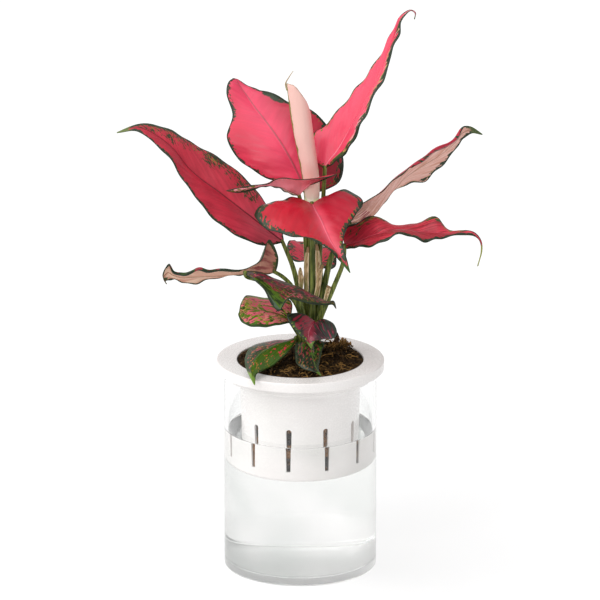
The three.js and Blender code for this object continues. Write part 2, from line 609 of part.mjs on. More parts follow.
// Each petiole's route, from its shoot up to just short of the blade that it carries.
const PETIOLES = {
  main_stem: [
    {
      blade: 'leaf_left_long',
      foot: 3.4,
      route: [[6, 4, 6], [4, 3, 25], [-1, 1, 52], [-6, 0, 72], [-10.8, 0, 84]],
    },
    {
      blade: 'leaf_back_broad',
      foot: 3.4,
      route: [[6, 8, 8], [6, 8, 40], [5, 10, 80], [4.6, 13, 108]],
    },
    {
      blade: 'leaf_right_tall',
      foot: 3.4,
      route: [[12, 7, 8], [13, 8, 40], [15, 9, 80], [17.6, 10, 120]],
    },
    {
      blade: 'leaf_low_back',
      foot: 3,
      route: [[12, 8, 8], [14, 10, 30], [16, 11.5, 58]],
    },
    {
      blade: 'leaf_level_thin',
      foot: 3.2,
      route: [[6, 5, 7], [5, 5, 40], [5, 5, 80], [2.4, 5, 112], [0.6, 4.6, 121]],
    },
    {
      blade: 'leaf_front_arching',
      foot: 3.6,
      route: [[9, 2, 6], [9.4, 0, 40], [9.6, -1, 80], [9.2, -2.6, 112]],
    },
    {
      blade: 'leaf_right_upper',
      foot: 4.4,
      route: [[12, 3, 6], [14, 3, 35], [19, 3, 58], [24.5, 4, 80], [33, 7, 98]],
    },
    {
      blade: 'leaf_right_level',
      foot: 3.4,
      route: [[11, 1, 6], [15, -3, 30], [20, -5, 42], [27, -6, 58], [33.4, -7.4, 75]],
    },
  ],
  side_shoot: [
    {
      blade: 'leaf_left_low',
      foot: 2.4,
      route: [[4, -9, 2], [3, -9, 28], [-1, -9, 46], [-7, -10, 57], [-14, -11, 64]],
    },
    {
      blade: 'leaf_crossing',
      foot: 2.4,
      route: [[3, -9, 2], [2, -9, 25], [-4, -11, 44], [-16, -16, 54], [-32, -22, 61], [-42, -27, 64]],
    },
    {
      blade: 'leaf_speckled_left',
      foot: 2.2,
      route: [[3, -9, 2], [1, -9, 14], [-4, -9, 23]],
    },
    {
      blade: 'leaf_glossy_front',
      foot: 2.4,
      route: [[5, -10, 1.6], [7, -10.4, 10], [9.6, -10.8, 19]],
    },
    {
      blade: 'leaf_hanging_front',
      foot: 2.2,
      route: [[6, -10, 1.6], [7, -10.6, 5], [7.6, -12, 10.6]],
    },
    {
      blade: 'leaf_low_front',
      foot: 2.2,
      route: [[2, -9, 2], [0, -9, 8], [-2, -10, 14]],
    },
  ],
};

const ROLL_STALK = { foot: 4.6, end: 4.6, route: [[9, 6, 7], [9, 6.5, 40], [9.4, 7, 80], [9.3, 7, 117]] };

function petioleGeometry({ blade, foot, route }) {
  const points = route.map(place);
  const base = place(BLADES[blade].stations[0][1]);
  const lead = base.clone().sub(points.at(-1)).normalize();
  points.push(base.addScaledVector(lead, -PETIOLE_SEAT));
  return taperedRod(new THREE.CatmullRomCurve3(points, false, 'centripetal'), foot, PETIOLE_TIP_RADIUS);
}

function shootGeometry(name) {
  const rods = PETIOLES[name].map(petioleGeometry);
  if (name === 'main_stem') {
    const stalk = new THREE.CatmullRomCurve3(ROLL_STALK.route.map(place), false, 'centripetal');
    rods.push(taperedRod(stalk, ROLL_STALK.foot, ROLL_STALK.end));
  }
  return toGeometry(unite([shootCollar(SHOOTS[name]), ...rods]));
}

// ---- the rolled new leaf ----------------------------------------------------------------

const ROLL_AXIS = [
  [9.3, 7, 118.4], [8.3, 7, 140], [5.2, 8, 160],
  [2.6, 8, 175], [0.3, 9, 190], [-2.6, 10, 215],
];
const ROLL_TURNS = 1.3;
const ROLL_PITCH = 1.9;
const ROLL_FOOT_RADIUS = 5.6;
const ROLL_TOP_RADIUS = 8.8;
const ROLL_ROWS = 10;
const ROLL_COLUMNS = 24;
// heights of the slanted mouth, every eighth of a turn from the left edge round the front
const ROLL_MOUTH = [214.5, 215, 212.5, 205, 195, 199, 206, 211, 213, 211, 206, 202];
const ROLL_SPIKE = { radius: 0.5, route: [[-12.6, 10, 213.2], [-9, 9.4, 218.4], [-5.5, 9, 223.6]] };

function rolledLeafGeometry() {
  const axis = new THREE.CatmullRomCurve3(ROLL_AXIS.map(place), false, 'centripetal');
  const [footRise, topRise] = [ROLL_AXIS[0][2], ROLL_AXIS.at(-1)[2]];
  const grid = [];
  for (let row = 0; row <= ROLL_ROWS; row += 1) {
    const line = [];
    for (let column = ROLL_COLUMNS; column >= 0; column -= 1) {
      const turn = ROLL_TURNS * column / ROLL_COLUMNS;
      const eighth = Math.floor(turn * 8);
      const mouth = THREE.MathUtils.lerp(ROLL_MOUTH[eighth], ROLL_MOUTH[eighth + 1], turn * 8 - eighth);
      const rise = THREE.MathUtils.lerp(footRise, mouth, row / ROLL_ROWS);
      const along = (rise - footRise) / (topRise - footRise);
      const radius = THREE.MathUtils.lerp(ROLL_FOOT_RADIUS, ROLL_TOP_RADIUS, Math.sqrt(Math.min(1, along)))
        - ROLL_PITCH * turn;
      const angle = Math.PI + 2 * Math.PI * turn;
      const centre = axis.getPoint(Math.min(1, along));
      line.push(centre.add(new THREE.Vector3(radius * Math.cos(angle), radius * Math.sin(angle), 0)));
    }
    grid.push(line);
  }
  const spike = new THREE.CatmullRomCurve3(ROLL_SPIKE.route.map(place));
  const rod = taperedRod(spike, ROLL_SPIKE.radius, ROLL_SPIKE.radius, 4, 6);
  return toGeometry(unite([sheetGeometry(grid, BLADE_THICKNESS), rod]));
}

// ---- colours and the assembly --------------------------------------------------------------

const FINISHES = {
  clear_glass: { color: 0xdfe6e6, roughness: 0.03, metalness: 0, transparent: true, opacity: 0.3 },
  water: { color: 0xe4e8ec, roughness: 0.02, metalness: 0, transparent: true, opacity: 0.4 },
  white_pot: { color: 0xece8e6, roughness: 0.3, metalness: 0 },
  soil: { color: 0x3a2618, roughness: 1, metalness: 0 },
  green_stem: { color: 0x4b5c22, roughness: 0.45, metalness: 0 },
  pink_blade: { color: 0xf0486a, roughness: 0.35, metalness: 0 },
  red_blade: { color: 0xb02236, roughness: 0.35, metalness: 0 },
  pale_blade: { color: 0xe3b0a0, roughness: 0.45, metalness: 0 },
  green_blade: { color: 0x33451f, roughness: 0.3, metalness: 0 },
  dry_sheath: { color: 0xc9b48c, roughness: 0.7, metalness: 0 },
  bark: { color: 0x4a2f1e, roughness: 0.9, metalness: 0 },
};

const BLADE_FINISHES = {
  leaf_left_long: 'red_blade',
  leaf_back_broad: 'pink_blade',
  leaf_right_tall: 'pink_blade',
  leaf_low_back: 'green_blade',
  leaf_level_thin: 'pink_blade',
  leaf_front_arching: 'red_blade',
  leaf_right_upper: 'pale_blade',
  leaf_right_level: 'red_blade',
  leaf_left_low: 'pale_blade',
  leaf_crossing: 'green_blade',
  leaf_speckled_left: 'green_blade',
  leaf_glossy_front: 'red_blade',
  leaf_hanging_front: 'green_blade',
  leaf_low_front: 'green_blade',
};

const plant = new THREE.Group();

function addPiece(name, geometry, finish) {
  const mesh = new THREE.Mesh(geometry, new THREE.MeshStandardMaterial(FINISHES[finish]));
  mesh.name = name;
  plant.add(mesh);
}

addPiece('glass_vessel', vesselGeometry(), 'clear_glass');
addPiece('inner_pot', potGeometry(), 'white_pot');
addPiece('water', waterGeometry(), 'water');
addPiece('soil', soilGeometry(), 'soil');
for (const name of Object.keys(SHOOTS)) addPiece(name, shootGeometry(name), 'green_stem');
addPiece('leaf_rolled', rolledLeafGeometry(), 'pale_blade');
for (const [name, blade] of Object.entries(BLADES)) {
  addPiece(name, bladeGeometry(blade), BLADE_FINISHES[name]);
}
for (const [name, strip] of Object.entries(STRIPS)) {
  addPiece(name, bladeGeometry(strip, STRIP_COLUMNS), name === 'bark_curl' ? 'bark' : 'dry_sheath');
}

export default plant;
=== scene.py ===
# A potted Chinese evergreen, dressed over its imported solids. Metres, +Z up. The fine
# pieces keep the form of the solids: the same sizes and stations shape both.

import math
import random
from statistics import NormalDist

import bmesh
import bpy
from mathutils import Matrix, Vector


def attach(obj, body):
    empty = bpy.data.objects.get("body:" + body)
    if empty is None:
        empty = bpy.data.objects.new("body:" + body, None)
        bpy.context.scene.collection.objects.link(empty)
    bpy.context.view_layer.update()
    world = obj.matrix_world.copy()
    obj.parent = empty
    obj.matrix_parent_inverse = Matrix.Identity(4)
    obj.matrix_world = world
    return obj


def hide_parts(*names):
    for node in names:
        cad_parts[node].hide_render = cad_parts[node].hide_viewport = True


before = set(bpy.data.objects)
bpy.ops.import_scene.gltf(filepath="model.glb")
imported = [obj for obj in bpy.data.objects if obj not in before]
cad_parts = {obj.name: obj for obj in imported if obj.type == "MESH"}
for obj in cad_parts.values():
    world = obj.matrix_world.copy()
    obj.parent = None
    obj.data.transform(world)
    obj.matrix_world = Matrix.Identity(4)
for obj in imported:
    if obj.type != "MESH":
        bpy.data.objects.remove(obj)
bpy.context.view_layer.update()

MM = 0.001

# ---- sizes, as in the solids, in millimetres -----------------------------------------------

VESSEL_RADIUS = 60
VESSEL_WALL = 3
VESSEL_BASE = 6
VESSEL_HEIGHT = 160.7
VESSEL_EDGE = 2.5
VESSEL_LIP = 0.8

RIM_Z = 169
FLANGE_RADIUS = 66
FLANGE_THICKNESS = 8
MOUTH_RADIUS = 49.5
RING_RADIUS = 56
RING_DEPTH = 14
POT_RADIUS = 47
POT_FOOT_RADIUS = 45.5
POT_DEPTH = 86
POT_WALL = 1.8
POT_FLOOR = 2
SHOULDER_DEPTH = 20

SLOT_COUNT = 10
SLOT_FIRST = math.radians(-101)
SLOT_TOP = 44
SLOT_BOTTOM = 78
SLOT_WIDTH = 4.4
SLOT_FOOT_WIDTH = 3
SLOT_CUT = 12                    # how deep the cut for a slot goes through the wall

WATER_DEPTH = 55
SOIL_GAP = 0.3                   # between the soil and the pot
SOIL_EDGE_DEPTH = 1.2
SOIL_CROWN = 3
MOUND = (32, 22, 13, 5)          # across, back, radius and height of the soil's mound
MOUND_REACH = 18                 # how far out from its middle the clods are larger
CRUMB_HEIGHT = 0.16

EYE_TILT = math.radians(17.3)    # how far the eye looks down
EYE_DISTANCE = 6000
FRAME_WIDTH = 470.6              # what the picture shows at the rim, from side to side
FRAME_CENTRE = (-0.24, 45.7)     # across and rise of the picture's middle


def place(point):
    """Where a point [across, back, rise], as the tilted eye sees it, is in metres."""
    across, back, rise = point
    height = (rise - back * math.sin(EYE_TILT)) / math.cos(EYE_TILT)
    return Vector((across, back, RIM_Z + height)) * MM


# ---- the plant's shape, in millimetres -----------------------------------------------------
# The points are the solids' own, but for the first stations of the two leaves at the right.
# Each station across a blade, from its base to its tip, is its left edge, its midrib and
# its right edge, as they lie when the upper face is looked at with the tip up.

BLADES = {
    "leaf_left_long": [
        [(-14, -1, 90.4), (-14, 0, 91.3), (-13, 1, 92.3)],
        [(-26, -12, 88), (-25, 1, 99.5), (-16, 10, 107)],
        [(-42, -20, 92), (-39.5, 3, 111), (-27, 18, 121)],
        [(-57, -22, 100.5), (-53, 5, 121.5), (-38, 24, 135.5)],
        [(-70, -21, 111), (-66, 7, 131.5), (-54, 28, 150)],
        [(-80, -18, 124), (-78, 9, 140), (-69, 30, 160)],
        [(-91, -12, 138.5), (-88, 11, 149), (-84, 30, 168)],
        [(-101, -4, 155), (-99, 13, 163), (-95, 28, 175)],
        [(-113, 4, 167), (-111, 15, 173), (-108, 26, 181)],
        [(-127, 13, 177), (-127, 17, 180), (-126, 22, 182.9)],
        [(-143, 18, 175.7), (-143, 18, 176), (-143, 18, 176.4)],
    ],
    "leaf_back_broad": [
        [(4, 16, 129), (5.5, 16, 129), (7, 16, 129)],
        [(-12, 18, 137.5), (1, 19, 138), (20, 20, 131.8)],
        [(-26, 22, 140.5), (-4, 23, 149), (31, 26, 139)],
        [(-37, 27, 147.5), (-11, 28, 162), (33.5, 34, 157)],
        [(-48, 34, 155.5), (-20, 36, 176), (24, 42, 178)],
        [(-57.5, 42, 173), (-28, 46, 187), (9, 48, 194)],
        [(-53, 52, 190), (-35, 55, 196), (-15, 56, 201)],
        [(-58, 62, 208), (-42, 64, 206), (-30, 66, 209.5)],
        [(-56.5, 70, 216.5), (-47.5, 71, 213.5), (-40, 73, 213.5)],
        [(-53, 75, 219.8), (-51, 76, 219.5), (-48.5, 78, 218.5)],
    ],
    "leaf_right_tall": [
        [(18, 10, 148.5), (19.2, 9.5, 149), (20.5, 9, 149)],
        [(8, 22, 158), (23, 11, 154.5), (26, 0, 152)],
        [(10, 29, 174), (28.5, 13, 161), (34, -5, 158.5)],
        [(20, 33, 183), (34, 16, 170), (40, -8, 166.5)],
        [(32, 36, 196.5), (40, 19, 181), (46, -8, 179)],
        [(42, 38, 209), (47, 23, 193), (51.5, -4, 190.5)],
        [(51, 40, 220), (55, 28, 207), (60, 6, 209)],
        [(61, 42, 234.5), (62.5, 33, 223), (67.5, 16, 222)],
        [(69, 44, 249.5), (69, 38, 238), (71, 28, 240)],
        [(75, 46, 262), (74, 42, 252), (77.5, 37, 252)],
        [(79.5, 47, 268.7), (79, 46, 266), (79, 44, 263)],
        [(86, 48, 272), (86, 47.5, 271.5), (86, 47, 271)],
        [(90, 48.5, 270), (89.7, 48.5, 269.5), (89.4, 48.5, 269)],
        [(89.4, 49, 264.8), (89, 49, 264.8), (88.6, 49, 264.8)],
    ],
    "leaf_low_back": [
        [(15, 12.5, 71.6), (16.2, 12.5, 71), (17.4, 12.5, 70.6)],
        [(4, 18, 75.8), (14, 20, 73), (25, 15, 70.2)],
        [(-5, 26, 76.3), (12, 28, 75), (28, 22, 73)],
        [(-9.5, 38, 82), (9, 38, 78.5), (28, 32, 80)],
        [(-10.5, 50, 88), (6, 50, 83), (24, 45, 85)],
        [(-9, 62, 92), (2, 62, 87.5), (17, 58, 88.5)],
        [(-5, 74, 93), (-2, 75, 90.5), (6, 72, 91)],
        [(-6.4, 86, 92), (-6, 86, 92), (-5.6, 86, 92)],
    ],
    "leaf_level_thin": [
        [(9.2, -9, 136), (-0.8, 2.6, 126.6), (-2.6, 5, 126.8)],
        [(28, -11, 143), (-5, 0.6, 129), (-8, 12, 128.5)],
        [(12, -15, 139.6), (-9.5, -1.4, 130.8), (-13, 15, 131)],
        [(-5, -17, 139.6), (-15, -1, 133.4), (-18, 14, 133.4)],
        [(-18, -13, 140), (-21.5, -1, 134.5), (-24, 10, 134.2)],
        [(-23.5, -8, 136.4), (-28.5, -2, 134.6), (-30, 4, 133.8)],
        [(-38, -5, 134.8), (-38.5, -3, 133.2), (-38, 0, 131)],
        [(-48, -5, 132.8), (-48, -4, 131), (-48, -2, 129.2)],
        [(-57.5, -4, 131), (-57.5, -4, 130.7), (-57.5, -4, 130.4)],
    ],
    "leaf_front_arching": [
        [(10.4, -2.8, 121.5), (9, -3.5, 120.6), (7.4, -2.8, 121.3)],
        [(24, 10, 128), (10.5, -9, 117.5), (-6, 3, 125.5)],
        [(36, 8, 131.5), (12.5, -17, 113.5), (-17, -8, 122.5)],
        [(48.5, -4, 122.5), (15, -26, 109), (-29, -22, 119.5)],
        [(44, -22, 113), (17.5, -37, 103.5), (-35.5, -38, 111.5)],
        [(37.5, -38, 104), (20.5, -49, 96.5), (-27, -54, 101.5)],
        [(34, -52, 96), (24, -61, 89.5), (-9, -66, 95.5)],
        [(33, -65, 88), (28.5, -71, 82), (10, -76, 92)],
        [(35, -75, 80), (33, -78, 76), (24, -81, 82.5)],
        [(38.5, -83, 66.6), (38.2, -83, 66.6), (37.9, -83, 66.6)],
    ],
    "leaf_right_upper": [
        # the first stations reach 3 mm further behind the front leaf than the solid's
        [(39, 11, 104.6), (38.5, 9.5, 105.4), (37, 8, 107)],
        [(48, 18, 107.5), (48, 10, 107.5), (40, 0, 113)],
        [(58, 24, 113), (57, 12, 111.5), (47.5, -5, 121)],
        [(66, 28, 122.5), (65, 15, 121), (58, -8, 126)],
        [(75, 31, 132), (73.5, 18, 131.7), (67.5, -7, 134)],
        [(86, 34, 137), (83, 21, 142), (77.5, -4, 142.5)],
        [(97, 36, 138.5), (93, 24, 149), (88, 1, 150.5)],
        [(106, 37, 146.5), (103, 27, 155), (98, 7, 158.5)],
        [(115, 38, 155), (112.5, 30, 161.5), (109, 14, 166)],
        [(123, 38, 166), (121, 32, 168.5), (119.5, 22, 170.5)],
        [(128, 38, 172), (126.5, 34, 176), (125, 28, 179.5)],
        [(134, 37, 176), (133.5, 35, 178.7), (132, 32, 181.5)],
        [(142.5, 37, 174.8), (142.5, 37, 175), (142.5, 37, 175.4)],
    ],
    "leaf_right_level": [
        # the foot is broader than the solid's, and reaches 4 mm further behind the front leaf
        [(33, -3, 100), (34.6, -8, 88), (36.6, -10, 85.4)],
        [(40, 0, 102.2), (45, -11, 91), (44, -25, 86.5)],
        [(50, 1, 107), (54, -14, 95), (53, -36, 87)],
        [(60, 2, 110.5), (63, -17, 97.5), (63, -40, 90)],
        [(71, 1, 104.5), (73, -19, 99.5), (73, -40, 95.5)],
        [(82, -1, 103.5), (84, -20, 99.5), (84, -39, 96)],
        [(94, -4, 107), (94, -21, 98.5), (94, -38, 91)],
        [(107, -8, 110), (104, -21, 98), (103, -34, 92)],
        [(115, -14, 100), (113, -21, 97.2), (112, -29, 94)],
        [(124, -17, 99.8), (124, -21, 98), (124, -25, 96.2)],
        [(135, -20, 98.5), (135, -21.5, 97), (135, -23, 95.2)],
        [(140.6, -21.5, 92), (139.8, -22, 92), (139, -22.5, 92)],
        [(141.5, -22, 84), (141, -22, 84), (140.5, -22, 84)],
        [(138.4, -22, 72), (138, -22, 72), (137.6, -22, 72)],
    ],
    "leaf_left_low": [
        [(-19, -13, 68.4), (-19.8, -12, 67.4), (-20.4, -11, 66.6)],
        [(-17, -20, 78), (-23, -14, 66.7), (-27, -3, 66.2)],
        [(-24, -24, 92.5), (-30, -16, 66.4), (-35, -3, 66)],
        [(-30, -25, 78), (-37, -18, 66), (-42, -4, 65.8)],
        [(-40, -25, 70.4), (-46, -20, 65.6), (-50, -8, 65)],
        [(-58, -28, 69.8), (-60, -22, 64.6), (-62, -12, 63.5)],
        [(-71, -30, 69.6), (-73, -24, 64), (-74, -14, 60.8)],
        [(-80, -32, 70.5), (-83, -26, 63.5), (-83, -18, 58)],
        [(-91, -33, 66.6), (-92, -28, 63), (-92, -22, 59.4)],
        [(-98, -34, 68.4), (-99, -30, 65), (-98, -26, 61.6)],
        [(-102, -34.5, 73.6), (-103.2, -31, 67), (-102, -28, 61)],
        [(-106.6, -33, 66.5), (-106.4, -31.5, 63.5), (-105, -30, 60)],
        [(-104.4, -31, 58), (-104, -31, 58), (-103.6, -31, 58)],
    ],
    "leaf_crossing": [
        [(-42, -29, 68), (-42.8, -30, 66.6), (-42, -31, 65.2)],
        [(-33, -27, 67.5), (-35, -32, 64), (-35, -38, 60.5)],
        [(-25, -24, 65), (-26, -33, 60), (-28, -43, 53)],
        [(-17, -21, 61), (-17, -34, 56.5), (-22.5, -48, 43)],
        [(-9, -20, 58.7), (-8, -34, 53.5), (-17, -49, 36.5)],
        [(-1, -21, 55.5), (0, -34, 50.5), (-10.5, -47, 46.5)],
        [(7, -23, 51.3), (8, -34, 47.5), (0, -43, 44.3)],
        [(15, -26, 47.2), (15.5, -34, 44.7), (12, -40, 42.3)],
        [(21, -29, 44.7), (21, -34, 43.3), (20, -38, 41.6)],
        [(26, -32, 44.7), (25.8, -34, 43.3), (25, -36, 42)],
        [(28, -35, 39), (27.7, -35, 39), (27.4, -35, 39)],
    ],
    "leaf_speckled_left": [
        [(-7.4, -10, 28), (-8, -9, 29), (-8, -8, 30.4)],
        [(-12, -18, 27), (-14, -10, 33), (-6.5, 0, 42)],
        [(-19, -24, 25.8), (-21, -12, 35.5), (-11, 4, 47.5)],
        [(-27, -28, 24.6), (-28, -15, 37), (-23, 4, 47.3)],
        [(-36, -30, 24.8), (-35, -18, 38), (-34, 1, 48)],
        [(-43, -30, 26.5), (-41, -22, 37.5), (-42, -6, 49.3)],
        [(-46.8, -29, 30), (-45.5, -26, 35.5), (-46, -16, 43.5)],
        [(-48.3, -29, 34), (-48.3, -28.6, 34.8), (-48, -28, 35.6)],
    ],
    "leaf_glossy_front": [
        [(13.2, -12.4, 29), (12.2, -12, 28.1), (11.2, -12.4, 29)],
        [(18.7, -12, 30.7), (10, -15.5, 26.5), (2, -17, 35)],
        [(25, -13, 27.8), (8, -18.5, 24), (-10, -21, 34)],
        [(28.5, -16, 21.5), (6.5, -21, 20.9), (-9, -24, 29)],
        [(27, -19.5, 16.5), (6.3, -23.5, 17.8), (-4.2, -25, 22.2)],
        [(18, -23.5, 15), (6.8, -25.5, 14.6), (0.5, -26, 17.2)],
        [(11.5, -26.5, 13.8), (7.6, -27.5, 11.4), (4.6, -27.5, 13.2)],
        [(8.8, -29, 7.8), (8.6, -29, 7.8), (8.4, -29, 7.8)],
    ],
    "leaf_hanging_front": [
        [(9.2, -14, 13.8), (8, -14, 13.4), (6.8, -14, 13.8)],
        [(18.5, -18, 12.5), (8.5, -19, 10.5), (-3, -17, 12)],
        [(17.5, -24, 7.5), (9, -26, 5.5), (-4, -24, 6.5)],
        [(15.8, -30, 2.5), (9.8, -33, 0.5), (-3.8, -31, 1)],
        [(14.8, -36, -2.5), (11, -39, -3.5), (-2.5, -38, -4.5)],
        [(14, -42, -6.5), (12, -44, -7), (3, -44, -8.3)],
        [(14.5, -46, -10), (13.8, -47, -10.3), (11.5, -48, -10.5)],
        [(16.3, -50, -13.2), (16, -50, -13.2), (15.7, -50, -13.2)],
    ],
    "leaf_low_front": [
        [(-2.6, -12.4, 14.8), (-3, -11, 15.8), (-3.6, -9.6, 16.6)],
        [(-7, -22, 8), (-9, -16, 13.5), (-11, -6, 13.5)],
        [(-13, -30, 1.5), (-16, -22, 11.5), (-20, -9, 14)],
        [(-20, -38, -4.5), (-23, -29, 8.5), (-30, -15, 12)],
        [(-27, -45, -8.5), (-29.5, -37, 5), (-38, -24, 9.5)],
        [(-32, -52, -10.5), (-34.5, -45, 0), (-42, -35, 3.5)],
        [(-34.5, -57, -13), (-38, -52, -6), (-43, -45, -3)],
        [(-35, -61, -16), (-38, -59, -12), (-41, -54, -10)],
        [(-35.2, -67, -20.2), (-35.5, -67, -20.2), (-35.8, -67, -20.2)],
    ],
}

# The pale dried margins of the leaf sheaths, and the curl of bark.
STRIPS = {
    "sheath_left": [
        [(3.2, 0.6, 52), (5, -1, 52), (6.4, -1.6, 52)],
        [(3, 0.4, 66), (5, -1.2, 66), (6.6, -2, 66)],
        [(3.4, 0, 77), (5.2, -1.6, 77), (6.8, -2.4, 77)],
        [(5.6, -1, 87), (6.4, -1.8, 87.4), (7, -2.4, 87)],
    ],
    "sheath_centre": [
        [(12, -2, 54), (13.4, -1.6, 54), (14.8, -0.6, 54)],
        [(12, -2, 66), (13.8, -1.8, 66), (15.4, -0.6, 66)],
        [(11.8, -2.6, 78), (13.6, -2.4, 78), (15.6, -1, 78)],
        [(11.8, -3, 89), (12.6, -2.8, 89.4), (13.4, -2, 89)],
    ],
    "sheath_right": [
        [(10.4, -4.2, 46), (12.2, -4.8, 46), (14, -4.6, 46)],
        [(12, -3.6, 56), (14, -4.4, 56), (15.8, -4, 56)],
        [(13, -2.8, 65), (15, -3.8, 65), (16.8, -3, 65)],
        [(17, -1.8, 73.6), (17.8, -2, 73.8), (18.4, -1.6, 73.4)],
    ],
    "sheath_scrap_left": [
        [(-0.6, -2, 54), (0.6, -2.4, 54), (1.8, -2, 54)],
        [(-1.6, -1.6, 62), (0.6, -2.2, 62), (2.6, -1.8, 62)],
        [(-1.4, -1, 68), (0, -1.6, 68), (1.6, -1.2, 67)],
        [(-0.4, -0.6, 71), (0, -0.8, 71.2), (0.4, -0.6, 71)],
    ],
    "sheath_scrap_right": [
        [(18, -7.9, 45), (19.2, -8.2, 45), (20.4, -7.9, 45)],
        [(19.4, -8.4, 51), (21, -8.7, 51), (22.6, -8.4, 51)],
        [(21, -8.8, 57.4), (22.4, -9, 56.8), (24, -8.8, 56)],
    ],
    "bark_curl": [
        [(27, 24.4, 10.8), (28.6, 22.6, 10.2), (30.4, 21, 9.8)],
        [(26.8, 25, 14.6), (28.6, 23.6, 14), (30.6, 22.4, 13.4)],
        [(27.6, 25.6, 17.6), (29, 24.8, 17), (30.6, 24, 16)],
        [(28.6, 26, 20), (29, 26, 20), (29.4, 26, 20)],
    ],
}

# Each shoot's petioles: the blade, the radius at the foot, and the route up to it.
PETIOLES = {
    "main_stem": [
        ("leaf_left_long", 3.4, [(6, 4, 6), (4, 3, 25), (-1, 1, 52), (-6, 0, 72), (-10.8, 0, 84)]),
        ("leaf_back_broad", 3.4, [(6, 8, 8), (6, 8, 40), (5, 10, 80), (4.6, 13, 108)]),
        ("leaf_right_tall", 3.4, [(12, 7, 8), (13, 8, 40), (15, 9, 80), (17.6, 10, 120)]),
        ("leaf_low_back", 3, [(12, 8, 8), (14, 10, 30), (16, 11.5, 58)]),
        ("leaf_level_thin", 3.2,
         [(6, 5, 7), (5, 5, 40), (5, 5, 80), (2.4, 5, 112), (0.6, 4.6, 121)]),
        ("leaf_front_arching", 3.6, [(9, 2, 6), (9.4, 0, 40), (9.6, -1, 80), (9.2, -2.6, 112)]),
        ("leaf_right_upper", 4.4,
         [(12, 3, 6), (14, 3, 35), (19, 3, 58), (24.5, 4, 80), (33, 7, 98)]),
        ("leaf_right_level", 3.4,
         [(11, 1, 6), (15, -3, 30), (20, -5, 42), (27, -6, 58), (33.4, -7.4, 75)]),
    ],
    "side_shoot": [
        ("leaf_left_low", 2.4,
         [(4, -9, 2), (3, -9, 28), (-1, -9, 46), (-7, -10, 57), (-14, -11, 64)]),
        ("leaf_crossing", 2.4,
         [(3, -9, 2), (2, -9, 25), (-4, -11, 44), (-16, -16, 54), (-32, -22, 61), (-42, -27, 64)]),
        ("leaf_speckled_left", 2.2, [(3, -9, 2), (1, -9, 14), (-4, -9, 23)]),
        ("leaf_glossy_front", 2.4, [(5, -10, 1.6), (7, -10.4, 10), (9.6, -10.8, 19)]),
        ("leaf_hanging_front", 2.2, [(6, -10, 1.6), (7, -10.6, 5), (7.6, -12, 10.6)]),
        ("leaf_low_front", 2.2, [(2, -9, 2), (0, -9, 8), (-2, -10, 14)]),
    ],
}
PETIOLE_TIP_RADIUS = 1.5
PETIOLE_REACH = 1.6               # how far a petiole runs on into its blade
STEM_ROOTING = 12
# each shoot's place across and back, its radius, and the height of its collar over the rim
SHOOTS = {"main_stem": (9, 4.5, 8, 10), "side_shoot": (4, -9.6, 4.2, 6)}

# the new leaf: its stalk, its axis, and the spiral that it is rolled up in
ROLL_STALK = [(9, 6, 7), (9, 6.5, 40), (9.4, 7, 80), (9.3, 7, 117)]
ROLL_STALK_RADIUS = 4.6
ROLL_AXIS = [(9.3, 7, 118.4), (8.3, 7, 140), (5.2, 8, 160), (2.6, 8, 175), (0.3, 9, 190),
             (-2.6, 10, 215)]
ROLL_TURNS = 1.3
ROLL_PITCH = 1.9                 # how much narrower it winds in a turn
ROLL_HALF = 31                   # half the girth of the blade before it rolled up
ROLL_START = 0.07                # how far round the front its free edge comes, in turns
ROLL_FOOT_RADIUS = 5.6
ROLL_TOP_RADIUS = 8.8
ROLL_TUCK = 1.1                  # how much it narrows in its lowest share
ROLL_TUCK_SHARE = 0.09
# heights of the slanted mouth, every eighth of a turn from the left edge round the front
ROLL_MOUTH = [214, 217.5, 213, 205, 195, 199, 206, 211, 213, 211, 206, 202]
ROLL_LENGTH = 96
ROLL_THICKNESS = 0.7
ROLL_SPIKE = [(-10.2, 6.6, 208.5), (-11.5, 7.4, 213.6), (-9, 8.4, 218.4), (-5.5, 9, 223.6)]
ROLL_SPIKE_RADIUS = 0.7
ROLL_SPIKE_TAPER = 0.45          # how much thinner the spike is at its end

# ---- the colours of each leaf --------------------------------------------------------------
# "left" and "right" are the two halves. Each mark is a colour, the share of the face that it
# covers, how far from the margin it stays (or, below 0, how far off it keeps), and the length
# and width of its blotches, in millimetres; then, if it isn't everywhere, its half (-1 left,
# 1 right, 0 both) and the stretch of the blade it is on. See blade_finish.

DARK, OLIVE, MOSS, FERN, SLATE = "#14260d", "#6f7426", "#2c4417", "#25361c", "#2f3a20"

RED_UNDER = dict(left="#a8424e", right="#9a3a46", rib="#6c2c36", rib_width=1.6,
                 marks=[(MOSS, 0.3, 10, 5, 1.8)], streak=0.1, gloss=0.5)
PALE_UNDER = dict(left="#d8a698", right="#d6a294", base="#b07e6a", rib="#8c6648", rib_width=0.9,
                  margin="#1f2e1a", margin_left=1.5, margin_right=1.6, lean=74,
                  marks=[("#dfb4a8", 0.36, None, 26, 1.8), ("#c9927f", 0.26, None, 24, 1.2),
                         (OLIVE, 0.4, 5, 7, 1.4), ("#2b3a22", 0.5, 5, 8, 2, -1, (0.4, 0.95))],
                  streak=0.06, gloss=0.5)
GREEN_UNDER = dict(left="#42562a", right="#3c5026", rib="#6f8044", rib_width=1.6,
                   marks=[("#7c3a40", 0.2, None, 5, 2)], streak=0.15, gloss=0.5)

